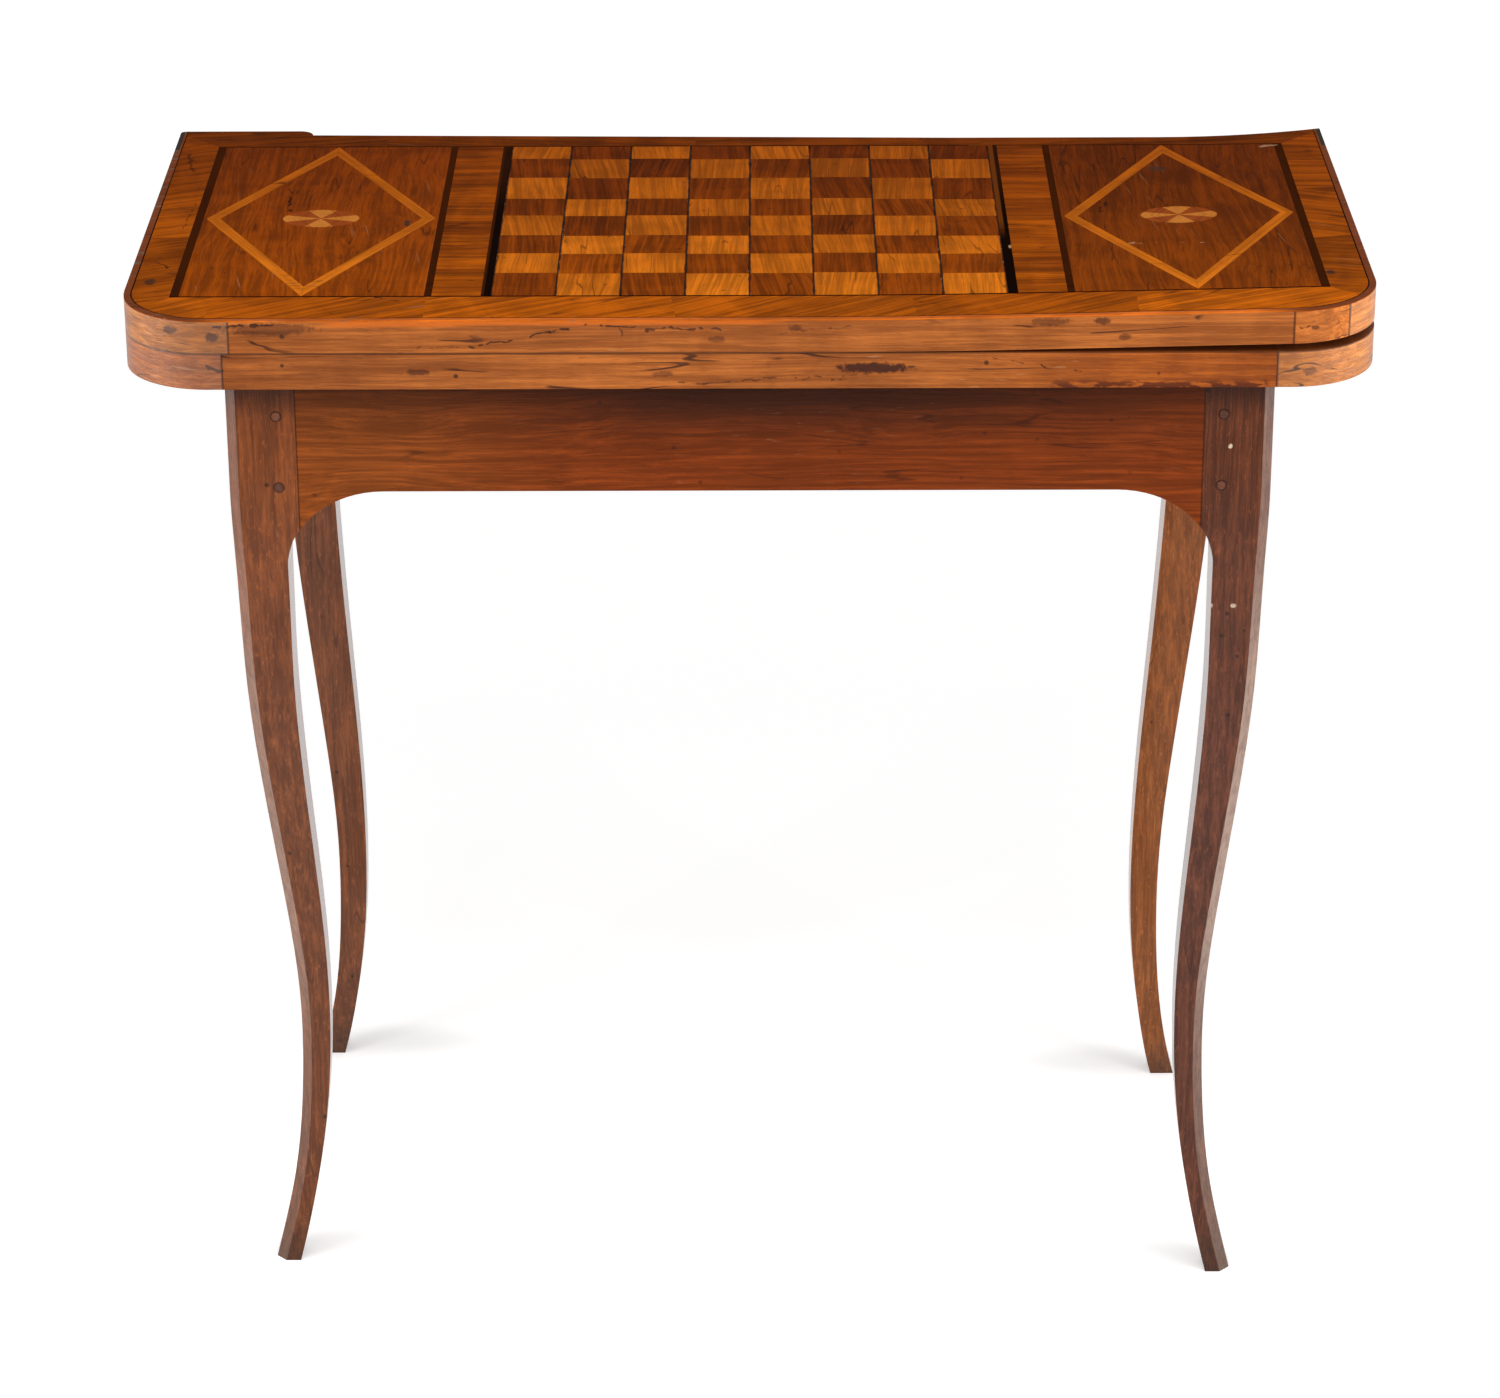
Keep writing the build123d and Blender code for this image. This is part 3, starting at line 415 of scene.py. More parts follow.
front_knots = (
    ((0.082, 0.715), (0.029, 0.0042), 0.95),
    ((-0.3842, 0.7407), (0.005, 0.003), 0.75),
    ((-0.3553, 0.7378), (0.0055, 0.004), 0.85),
    ((-0.022, 0.735), (0.006, 0.003), 0.55),
    ((0.198, 0.747), (0.015, 0.0035), 0.55),
    ((0.233, 0.7475), (0.006, 0.003), 0.75),
    ((0.248, 0.736), (0.005, 0.0028), 0.6),
    ((-0.22, 0.7125), (0.01, 0.0026), 0.7),
    ((-0.058, 0.711), (0.008, 0.0026), 0.5),
    ((0.374, 0.742), (0.0035, 0.0022), 0.7),
    ((0.372, 0.7115), (0.006, 0.003), 0.6),
    ((-0.316, 0.743), (0.032, 0.005), 0.6),
    ((0.03, 0.743), (0.005, 0.0025), 0.6),
)
strip_chips = (
    ((-0.15, 0.754), (0.015, 0.0012), 0.8),
    ((-0.27, 0.7535), (0.05, 0.001), 0.5),
)
leg_chips = (
    ((0.3222, 0.6535), (0.0018, 0.0022), 0.9),
    ((0.314, 0.535), (0.0014, 0.0018), 0.6),
    ((0.329, 0.5345), (0.0022, 0.0018), 0.7),
)

# Stretches in X: the chipped lower edge, the closed part of the board's right line, and the worn upper
# edge with how deep and how soft it is worn
chipped_edge = (0.2027, 0.3418)
closed_line = (0.16, 0.1766)
worn_edges = ((-0.27, -0.2, 0.0035, 0.02), (-0.2, 0.0, 0.0025, 0.03))

# The board's lines are black up to here, and the left one only from its core on
black_reach = 0.186
black_core = -0.1774

# Spots reach this far through a piece
spot_depth = 0.5

wax_roughness = 0.42


def marked(tree, place, colour, on_top, *layers):
    """Colour with layers of cracks and spots over it, each layer a list of marks and its ink."""

    def spatial(point):
        return (*point, flat_top_z) if on_top else (point[0], front_y, point[1])

    ragged = tree.noise(place, (260, 260, 260), 3, 0.6)
    shake = tree.add("TexNoise", {"Vector": place, "Scale": 95, "Detail": 3}).outputs["Color"]
    centred = tree.vector("SUBTRACT", shake, (0.5, 0.5, 0.5))
    shaken = tree.vector("ADD", place, tree.vector("MULTIPLY", centred, (0.009, 0.009, 0.009)))
    for marks, ink in layers:
        for first, second, *rest in marks:
            if len(rest) == 2:
                ends = {"Start": spatial(first), "End": spatial(second)}
                mask = tree.group("Crack", Vector=shaken, Width=rest[0], **ends)[0]
            else:
                size = (*second, spot_depth) if on_top else (second[0], spot_depth, second[1])
                mask = tree.group("Spot", Vector=place, Ragged=ragged, Centre=spatial(first), Size=size)[0]
            colour = tree.laid(colour, ink, mask, rest[-1])
    return colour


def new_material(name):
    """Start a material: its tree and the object coordinates."""
    material = bpy.data.materials.new(f"{name}_finish")
    material.use_nodes = True
    tree = Tree(material.node_tree)
    return tree, tree.add("TexCoord", {}).outputs["Object"]


def surface(tree, colour, height, roughness, gloss, bump=0.0004):
    """Feed the shader of a material."""
    shader = tree.tree.nodes["Principled BSDF"]
    tree.feed(shader.inputs["Base Color"], colour)
    tree.feed(shader.inputs["Roughness"], roughness)
    shader.inputs["Specular IOR Level"].default_value = gloss
    if height is not None:
        bumped = tree.add("Bump", {"Height": height, "Distance": bump, "Strength": 0.6}).outputs[0]
        tree.feed(shader.inputs["Normal"], bumped)
    return shader


def timber(tree, grain, light, dark, seed, coarse, wander=0.01, streaks=0.3, figure=0.3):
    """Colour and height of sawn wood."""
    looks = {"Coarse": coarse, "Wander": wander, "Streaks": streaks, "Figure": figure}
    return tree.group("Timber", Vector=grain, Seed=seed, Light=light, Dark=dark, **looks)


def along_y(tree, place):
    """Object coordinates swapped so that the grain runs from front to back."""
    x, y, z = tree.split(place)
    return tree.join(y, x, z)


def along_z(tree, place):
    """Object coordinates swapped so that the grain runs up."""
    x, y, z = tree.split(place)
    return tree.join(z, x, y)


def aged(tree, grain, colour, ink, seed=0.0, cracks=0.6, scratches=0.3, grime=0.35, pits=0.5):
    """Colour with the shared marks of age."""
    wear = tree.group("Wear", Vector=grain, Seed=seed)
    colour = tree.laid(colour, tree.times(colour, (0.45, 0.36, 0.3)), wear["Grime"], grime)
    colour = tree.laid(colour, ink, wear["Cracks"], cracks)
    colour = tree.laid(colour, ink, wear["Pits"], pits)
    return tree.laid(colour, (0.5, 0.3, 0.16), wear["Scratches"], scratches)


def waxed(tree, place, colour, wood, finish, *layers):
    """Feed the shader of a piece of the top: painted shade that darkens it toward the hinges at the back, with
    layers of marks over that.
    """
    # Painted shade: the top grows darker toward the back
    behind = tree.smooth(tree.split(place)[1], -0.24, 0.2)
    colour = tree.times(colour, tree.mix(behind, (1.14, 1.14, 1.14), (0.66, 0.56, 0.4)))
    if layers:
        colour = marked(tree, place, colour, True, *layers)
    surface(tree, colour, wood["Height"], wax_roughness, finish.top_gloss)


def squares_material(name, finish, light, dark, parity):
    """Chessboard squares: each with its own tone, figure from front to back and worn dark edges."""
    tree, place = new_material(name)
    x, y = tree.split(place)[:2]
    across = tree.math("DIVIDE", tree.math("ADD", x, board_half), square)
    column = tree.math("FLOOR", across)
    odd = tree.off(tree.math("MODULO", column, 2), parity)
    down = tree.math("DIVIDE", tree.math("SUBTRACT", y, board_low[1]), board_depth / squares_a_side)
    pair = tree.math("DIVIDE", tree.math("ADD", tree.math("SUBTRACT", down, odd), 0.5), 2)
    value, tint = tree.chance(column, tree.math("FLOOR", pair), parity)
    slant, lightness = tree.split(tint)[:2]
    angle = tree.math("MULTIPLY", tree.math("SUBTRACT", slant, 0.5), 0.3)
    grain = along_y(tree, tree.turned(place, angle))
    seed = tree.math("MULTIPLY", value, 9)
    wood = timber(tree, grain, light, dark, seed, coarse=1.8, wander=0.014, figure=0.25)
    colour = tree.times(wood["Color"], tree.mix(lightness, (0.82, 0.78, 0.72), (1.14, 1.16, 1.2)))
    colour = aged(tree, grain, colour, finish.ebony, seed, cracks=0.5, scratches=0.1, grime=0.3, pits=0.4)
    uneven = tree.math("SUBTRACT", tree.noise(place, (120, 60, 60), 3), 0.5)
    edge = tree.math("MULTIPLY_ADD", uneven, 0.05, tree.off(tree.math("FRACT", across), 0.5))
    joint = tree.smooth(edge, 0.474, 0.492)
    colour = tree.laid(colour, finish.ebony, joint, 0.85)
    filler = tree.smooth(tree.noise(place, (420, 110, 60), 3), 0.6, 0.66)
    colour = tree.laid(colour, linear(150, 118, 92), tree.product(joint, filler), 0.6)
    waxed(tree, place, colour, wood, finish)


def field_material(name, finish, shade, seed):
    """Walnut of the side panels, figured from front to back, with the cracks and fillers seen there."""
    tree, place = new_material(name)
    grain = along_y(tree, place)
    shades = tones(finish.walnut, 1.16 * shade, 0.55 * shade)
    wood = timber(tree, grain, *shades, seed, coarse=1.9, wander=0.04, streaks=0.4, figure=0.25)
    colour = aged(tree, grain, wood["Color"], finish.ebony, seed, cracks=0.5, pits=0.35)
    cracks = (top_cracks, finish.ebony)
    rubs = (top_rubs, linear(190, 150, 118))
    spots = (top_spots, linear(58, 46, 38))
    waxed(tree, place, colour, wood, finish, cracks, rubs, spots)


def border_material(name, finish, shade, angle, piece, seed):
    """Crossbanding laid in lengths, each with its own tone and slanting figure."""
    tree, place = new_material(name)
    x, y = tree.split(place)[:2]
    along = x if name in ("front_border", "back_border") else y
    start = tree.math("MULTIPLY_ADD", tree.noise(place, (3, 3, 3), 1), 0.1, along)
    length = tree.math("FLOOR", tree.math("DIVIDE", start, piece))
    value, tint = tree.chance(length, seed, 0)
    slant, lightness = tree.split(tint)[:2]
    grain = tree.turned(place, tree.math("MULTIPLY_ADD", slant, 0.35, angle))
    shades = tones(finish.chestnut, 1.5 * shade, 0.6 * shade)
    wood = timber(tree, grain, *shades, tree.math("MULTIPLY", value, 7), coarse=1.8, wander=0.015)
    colour = tree.times(wood["Color"], tree.mix(lightness, (0.76, 0.73, 0.7), (1.14, 1.15, 1.2)))
    colour = aged(tree, grain, colour, finish.ebony, seed, cracks=0.5, grime=0.4, pits=0.3)
    cracks = (border_cracks, finish.ebony)
    waxed(tree, place, colour, wood, finish, cracks, (top_spots, linear(52, 40, 32)))


def band_material(name, finish, seed):
    """Bands beside the chessboard, the figure running across in uneven zones."""
    tree, place = new_material(name)
    y = tree.split(place)[1]
    zone = tree.smooth(tree.noise(tree.join(seed, tree.math("MULTIPLY", y, 26), 0)), 0.4, 0.62)
    shades = tones(finish.chestnut, 1.288, 0.46)
    wood = timber(tree, place, *shades, seed, coarse=1.1, wander=0.015, streaks=0.5)
    colour = tree.times(wood["Color"], tree.mix(zone, (1.1, 1.1, 1.1), (0.68, 0.62, 0.58)))
    colour = aged(tree, place, colour, finish.ebony, seed, cracks=0.5, scratches=0.25, grime=0.3, pits=0.3)
    waxed(tree, place, colour, wood, finish)


def line_material(name, finish):
    """Dark lines: black beside the chessboard and in front, red-brown outside and behind."""
    tree, place = new_material(name)
    x, y = tree.split(place)[:2]
    behind = tree.smooth(y, 0.0, 0.12)
    if name == "cross_lines":
        core = tree.smooth(x, black_core - 0.0014, black_core)
        by_board = tree.product(tree.smooth(tree.off(x), black_reach + 0.004, black_reach), core)
        brown = tree.mix(tree.noise(place, (90, 30, 30), 4), linear(50, 22, 8), linear(72, 33, 12))
        colour = tree.mix(by_board, brown, tree.mix(behind, tone(finish.ebony, 0.7), linear(44, 22, 12)))
    else:
        colour = tree.mix(behind, tone(finish.ebony, 0.8), linear(62, 28, 10))
    closed = tree.product(tree.within(x, *closed_line, 0.0008), tree.smooth(y, -0.05, 0.0))
    colour = tree.laid(colour, linear(112, 56, 18), closed, 0.9)
    colour = aged(tree, place, colour, tone(finish.ebony, 0.5), cracks=0.3, scratches=0, grime=0.2, pits=0.2)
    chips = (line_chips, linear(190, 150, 118))
    colour = marked(tree, place, colour, True, chips, (top_rubs, linear(170, 138, 112)))
    surface(tree, colour, None, roughness=0.45, gloss=0)


def strip_material(name, finish, light, dark):
    """Lozenge strips and petals, cut along the grain."""
    tree, place = new_material(name)
    x, y, z = tree.split(place)
    mirrored = tree.join(tree.off(tree.off(x), lozenge_x), tree.off(y, lozenge_y), z)
    wood = timber(tree, tree.turned(mirrored, 1.1), light, dark, 2.0, coarse=1.4, wander=0.004, streaks=0.2)
    colour = aged(tree, place, wood["Color"], finish.ebony, 3.0, scratches=0.2, grime=0.3)
    waxed(tree, place, colour, wood, finish)


def edge_wear(tree, name, place, colour, finish):
    """Colour of an edge with its joints, chips and worn corner, and a painted highlight on its rounded front
    corners.
    """
    x, y, z = tree.split(place)
    joints, low_z, high_z = upper_joints if name.startswith("upper") else lower_joints
    for joint_x in joints:
        joint = tree.smooth(tree.off(x, joint_x), 0.0011, 0.0004)
        joint = tree.product(joint, tree.within(z, low_z, high_z, 0.001))
        colour = tree.laid(colour, linear(50, 24, 16), joint, 0.75)
    chips = tree.product(
        tree.within(x, *chipped_edge, 0.004),
        tree.smooth(z, leaf_base_z + 0.0075, leaf_base_z + 0.002),
        tree.smooth(tree.noise(place, (90, 260, 260), 3), 0.42, 0.52),
    )
    colour = tree.laid(colour, linear(70, 26, 18), chips, 0.8)
    worn = [
        tree.product(
            tree.smooth(z, flat_top_z - deep - 0.002, flat_top_z - deep),
            tree.within(x, start, end, soft),
        )
        for start, end, deep, soft in worn_edges
    ]
    colour = tree.laid(colour, finish.orange, tree.math("MAXIMUM", *worn), 0.75)
    # Painted highlight: the rounded front corners are lightened
    painted_corner_highlight = tree.product(tree.smooth(tree.off(x), 0.374, 0.395), tree.smooth(y, -0.165, -0.185))
    colour = tree.laid(colour, tree.times(colour, (1.4, 1.45, 1.3)), painted_corner_highlight)
    if name == "lower_panel":
        colour = tree.laid(colour, tree.times(colour, (0.92, 0.76, 0.5)), tree.smooth(x, 0.12, 0.26))
        colour = tree.laid(colour, tree.times(colour, (0.82, 0.8, 0.84)), tree.smooth(x, -0.12, -0.26))
    return colour


def edge_material(name, finish, seed, turned, tone_and_painted_light, red, dirt):
    """Solid wood of the leaves: honey-coloured edges with knots and splits, and painted shade along the seam
    and on the inner faces.
    """
    tree, place = new_material(name)
    x, y, z = tree.split(place)
    grain = place
    # Tone of the piece: partly its wood's own, partly painted light, raised on the right-hand cleats and patch
    # as a painted highlight
    honey = tree.mix(red, tone(finish.honey, tone_and_painted_light), linear(150, 76, 48))
    if turned:
        grain = tree.join(tree.math("ADD", tree.off(x), y), tree.math("MULTIPLY", x, 0.15), z)
        honey = tree.times(honey, (0.98, 1.08, 0.9))
    shades = tree.times(honey, (1.32, 1.35, 1.34)), tree.times(honey, (0.66, 0.6, 0.54))
    wood = timber(tree, grain, *shades, seed, coarse=2.4, wander=0.006, streaks=0.65 * dirt, figure=0.2)
    blotches = tree.smooth(tree.noise(place, (11, 40, 60), 5, 0.7), 0.5, 0.72)
    colour = tree.laid(wood["Color"], tree.times(honey, (0.42, 0.38, 0.36)), blotches, 0.45 * dirt)
    colour = aged(tree, grain, colour, linear(52, 26, 16), seed, cracks=0.85, grime=0.45 * dirt, pits=0.8)
    colour = edge_wear(tree, name, place, colour, finish)
    splits = (front_cracks, linear(46, 22, 14))
    colour = marked(tree, place, colour, False, splits, (front_knots, linear(62, 28, 18)))
    upright = tree.facing()[2]
    under = tree.product(tree.smooth(upright, 0.4, 0.8), tree.smooth(z, seam_z + 0.015, seam_z + 0.018))
    colour = tree.laid(colour, finish.ebony, under)
    # Painted shade: a dark line along the seam between the leaves
    by_seam = tree.smooth(tree.off(z, seam_z), 0.0011, 0.0005)
    colour = tree.laid(colour, linear(50, 26, 14), by_seam, 0.7)
    # Painted shade on the inner faces: the underside of the upper leaf and the top of the lower leaf by the
    # seam
    if name.startswith("upper"):
        inside = tree.smooth(upright, -0.6, -0.9)
    else:
        inside = tree.product(by_seam, tree.smooth(upright, 0.6, 0.9))
    colour = tree.laid(colour, tree.times(wood["Color"], (0.5, 0.42, 0.4)), inside)
    height = tree.product(wood["Height"], tree.math("SUBTRACT", 1, inside))
    roughness = tree.math("MULTIPLY_ADD", inside, 0.2, 0.36 if turned else 0.46)
    surface(tree, colour, height, roughness, gloss=0.5 if turned else 0.12, bump=0.0006)


def edge_strip_material(finish):
    """Thin strip along the upper corner, bright in front with grey worn spots, and dark round the ends."""
    tree, place = new_material("edge_strip")
    x, y = tree.split(place)[:2]
    shades = tones(finish.orange, 1.35, 0.6)
    wood = timber(tree, place, *shades, 1.0, coarse=1.0, wander=0.003)
    sides = tree.smooth(y, front_y + 0.002, front_y + 0.014)
    ends = tree.math("MAXIMUM", sides, tree.smooth(tree.off(x), 0.33, 0.375))
    colour = tree.laid(wood["Color"], linear(108, 49, 15), ends, 0.9)
    worn = tree.smooth(tree.noise(place, (24, 90, 90), 5, 0.65), 0.56, 0.66)
    colour = tree.laid(colour, linear(120, 96, 80), tree.product(worn, tree.smooth(x, 0.0, -0.15)), 0.8)
    colour = aged(tree, place, colour, finish.ebony, 4.0, cracks=0.7, grime=0.5, pits=0.6)
    colour = marked(tree, place, colour, False, (strip_chips, linear(208, 160, 112)))
    surface(tree, colour, wood["Height"], wax_roughness, gloss=0.02)


def apron_material(name, finish, turned):
    """Red-brown aprons, quietly figured, with painted shadow from the leaves over their tops, darkest in the
    middle.
    """
    tree, place = new_material(name)
    x, y, z = tree.split(place)
    grain = along_y(tree, place) if turned else place
    shades = tones(finish.russet, 1.16, 0.56)
    wood = timber(tree, grain, *shades, 5.0, coarse=3.2, wander=0.03, streaks=0.2, figure=0.1)
    bend = tree.math("MULTIPLY", tree.noise(grain, (4.5, 3, 10)), 22)
    rings = tree.math("MULTIPLY_ADD", z, 520, bend)
    ridges = tree.smooth(tree.math("SINE", rings), 0.2, 0.95)
    colour = tree.laid(wood["Color"], tone(finish.russet, 0.45), ridges, 0.2)
    faded = tree.times(colour, (1.3, 1.8, 2.1))
    colour = tree.laid(colour, faded, tree.smooth(x, -0.08, -0.28), 0.8)
    # Painted shadow of the leaves over the top of the aprons, darkest in the middle
    middle = tree.smooth(tree.off(x, 0.03), 0.24, 0.05)
    upper = tree.smooth(z, apron_low_z + 0.02, leaf_base_z - 0.01)
    colour = tree.laid(colour, linear(44, 22, 12), upper, tree.math("MULTIPLY_ADD", middle, 0.4, 0.45))
    # Painted contact shadow right under the leaves
    painted_contact_shadow = tree.smooth(z, leaf_base_z - 0.022, leaf_base_z - 0.004)
    colour = tree.laid(colour, linear(36, 18, 10), painted_contact_shadow, 0.45)
    colour = aged(tree, place, colour, finish.ebony, 6.0, cracks=0.4, scratches=0.08, grime=0.25, pits=0.4)
    along, reach = (y, apron_reach[1]) if turned else (x, apron_reach[0])
    end = tree.smooth(tree.off(along), reach - 0.0014, reach - 0.0004)
    colour = tree.laid(colour, finish.ebony, end, 0.7)
    surface(tree, colour, wood["Height"], roughness=0.4, gloss=0.07)


def ringed(tree, place, colour, finish):
    """Colour of a post with a dark ring round each peg."""
    x, y, z = tree.split(place)
    upward = tree.math("SUBTRACT", tree.off(z, peg_middle_z), peg_spread)
    for across, centre in ((x, peg_places[0]), (y, peg_places[1])):
        sideways = tree.math("SUBTRACT", tree.off(across), centre)
        away = tree.length(tree.join(sideways, 0, upward))
        ring = tree.smooth(tree.off(away, peg_radius + 0.0004), 0.0009, 0.0003)
        colour = tree.laid(colour, finish.ebony, ring, 0.65)
    return colour


def leg_material(name, finish, light, dark, rub_and_highlight, seed):
    """Legs with upright grain, mottled, waxed below the post, with painted shadow under the leaves, and pale
    along their outer corners, partly rubbed and partly a painted highlight.
    """
    tree, place = new_material(name)
    y, z = tree.split(place)[1:]
    grain = along_z(tree, place)
    wood = timber(tree, grain, light, dark, seed, coarse=3.2, wander=0.008, streaks=0.2, figure=0.15)
    mottle = tree.smooth(tree.noise(place, (230, 230, 80), 5, 0.7), 0.42, 0.66)
    colour = tree.laid(wood["Color"], dark, mottle, 0.4)
    flecks = tree.smooth(tree.noise(place, (480, 480, 150), 3, 0.6), 0.58, 0.68)
    colour = tree.laid(colour, tone(light, 1.7), flecks, 0.3)
    colour = tree.laid(colour, tree.times(colour, (1.1, 0.97, 0.7)), tree.smooth(z, 0.42, 0.6))
    # Painted contact shadow right under the leaves
    painted_contact_shadow = tree.smooth(z, leaf_base_z - 0.03, leaf_base_z - 0.004)
    colour = tree.laid(colour, linear(38, 16, 8), painted_contact_shadow, 0.75)
    foot = tree.smooth(tree.math("MULTIPLY_ADD", mottle, 0.02, z), 0.05, 0.0)
    colour = tree.laid(colour, linear(58, 42, 32), foot, 0.65)
    colour = aged(tree, grain, colour, finish.ebony, seed, cracks=0.45, scratches=0.12, pits=0.7)
    facing = tree.facing()
    chipped = marked(tree, place, colour, False, (leg_chips, linear(214, 196, 170)))
    in_front = tree.product(tree.smooth(facing[1], -0.5, -0.8), tree.smooth(y, 0.0, -0.05))
    colour = tree.laid(colour, chipped, in_front)
    # Pale outer corners, partly rubbed wood and partly a painted highlight, palest at the knee
    corner = tree.smooth(tree.off(tree.product(facing[0], facing[1])), 0.3, 0.42)
    palest = tree.math("MULTIPLY_ADD", tree.within(z, 0.3, 0.45, 0.15), 0.65, 0.35)
    uneven = tree.math("MULTIPLY_ADD", mottle, -0.4, 1)
    colour = tree.laid(colour, linear(192, 164, 146), tree.product(corner, palest, uneven), rub_and_highlight)
    colour = ringed(tree, place, colour, finish)
    shader = surface(tree, colour, wood["Height"], roughness=0.4, gloss=finish.leg_gloss, bump=0.0006)
    dull = tree.product(tree.smooth(z, 0.56, 0.66), tree.smooth(tree.off(facing[1]), 0.6, 0.9))
    tree.feed(shader.inputs["Coat Weight"], tree.math("SUBTRACT", 1, dull))
    shader.inputs["Coat Roughness"].default_value = 0.14
    shader.inputs["Coat IOR"].default_value = 1.2


def plain_wood_material(name, finish, light, dark):
    """Pegs and the unseen boards of the card well."""
    tree, place = new_material(name)
    wood = timber(tree, along_y(tree, place), light, dark, 8.0, coarse=1.2, streaks=0.4)
    colour = aged(tree, place, wood["Color"], finish.ebony)
    surface(tree, colour, wood["Height"], roughness=0.55, gloss=0.3)


def iron_material(name, finish, shade):
    """Forged iron, dark with brown rust in patches."""
    tree, place = new_material(name)
    patches = tree.noise(place, (160, 160, 160), 5, 0.65)
    rust = tree.smooth(patches, 0.48, 0.68)
    colour = tree.mix(rust, tone(finish.iron, shade), linear(70, 40, 26))
    shader = surface(tree, colour, patches, tree.math("MULTIPLY_ADD", rust, 0.2, 0.6), gloss=0.1)
    tree.feed(shader.inputs["Metallic"], tree.math("MULTIPLY", tree.math("SUBTRACT", 1, rust), 0.2))


def baize_material(finish):
    """Green baize: felted nap, faded and rubbed in patches."""
    tree, place = new_material("baize")
    nap = tree.noise(place, (900, 900, 900), 2, 0.7)
    faded = tree.smooth(tree.noise(place, (9, 9, 9), 5, 0.6), 0.45, 0.7)
    colour = tree.mix(nap, tone(finish.cloth, 0.7), tone(finish.cloth, 1.3))
    colour = tree.laid(colour, linear(96, 108, 66), faded, 0.4)
    shader = surface(tree, colour, nap, roughness=0.95, gloss=0.1, bump=0.0006)
    shader.inputs["Sheen Weight"].default_value = 0.12
    shader.inputs["Sheen Roughness"].default_value = 0.5


def paint(material, *nodes):
    """Give nodes a material, or the node of the material's own name."""
    for name in nodes or (material,):
        mesh = bpy.data.objects[name].data
        mesh.materials.clear()
        mesh.materials.append(bpy.data.materials[f"{material}_finish"])


class GAMESTABLE_OT_groups(bpy.types.Operator):
    """Make the node groups that the finishes share"""

    bl_idname = "gamestable.groups"
    bl_label = "Shared groups"

    def execute(self, context):
        timber_group()
        wear_group()
        spot_group()
        crack_group()
        return {"FINISHED"}


class GAMESTABLE_OT_top(bpy.types.Operator):
    """Finish the marquetry of the upper leaf"""

    bl_idname = "gamestable.top"
    bl_label = "Marquetry"

    def execute(self, context):
        finish = context.scene.gamestable_finish
        squares_material("light_squares", finish, *tones(finish.amber, 0.95, 0.48), 1)
        squares_material("dark_squares", finish, *tones(finish.walnut, 1.2, 0.48), 0)
        paint("light_squares")
        paint("dark_squares")
        for hand, shade, seed in (("left", 1.18, 3.0), ("right", 0.84, 5.0)):
            field_material(f"{hand}_field", finish, shade, seed)
            paint(f"{hand}_field", f"{hand}_lozenge_field", f"{hand}_panel_corners")
            band_material(f"{hand}_inner_band", finish, seed)
            paint(f"{hand}_inner_band")
        for name, shade, angle, piece, seed in (
            ("front_border", 0.94, -0.75, 0.16, 1.0),
            ("back_border", 0.68, -0.2, 0.22, 2.0),
            ("left_border", 0.8, -0.45, 0.11, 3.0),
            ("right_border", 0.8, 0.1, 0.11, 4.0),
        ):
            border_material(name, finish, shade, angle, piece, seed)
            paint(name)
        for name in ("cross_lines", "long_lines", "edge_line"):
            line_material(name, finish)
            paint(name)
        strip_material("lozenge_strips", finish, *tones(finish.amber, 0.92, 0.55))
        paint("lozenge_strips", "left_lozenge_strips", "right_lozenge_strips")
        strip_material("light_petals", finish, linear(222, 142, 62), linear(186, 106, 38))
        paint("light_petals")
        strip_material("dark_petals", finish, linear(174, 84, 30), linear(132, 60, 20))
        paint("dark_petals")
        edge_strip_material(finish)
        paint("edge_strip")
        return {"FINISHED"}


class GAMESTABLE_OT_leaves(bpy.types.Operator):
    """Finish the solid wood of both leaves"""

    bl_idname = "gamestable.leaves"
    bl_label = "Leaves"

    def execute(self, context):
        finish = context.scene.gamestable_finish
        # Each edge's tone is partly its wood and partly painted light: the right-hand cleats and patch are
        # raised as a painted highlight
        for name, seed, turned, tone_and_painted_light, red, dirt in (
            ("upper_panel", 1.0, False, 1.0, 0.0, 1.0),
            ("upper_right_patch", 2.0, False, 1.25, 0.0, 0.3),
            ("upper_left_cleat", 3.0, True, 0.8, 0.0, 0.3),
            ("upper_right_cleat", 4.0, True, 1.4, 0.0, 0.3),
            ("lower_panel", 5.0, False, 1.0, 0.0, 1.0),
            ("lower_left_cleat", 6.0, True, 0.8, 0.5, 0.4),
            ("lower_right_cleat", 7.0, True, 1.2, 0.0, 0.3),
            ("upper_back_lipping", 8.0, False, 0.6, 0.4, 1.0),
        ):
            edge_material(name, finish, seed, turned, tone_and_painted_light, red, dirt)
            paint(name)
        return {"FINISHED"}


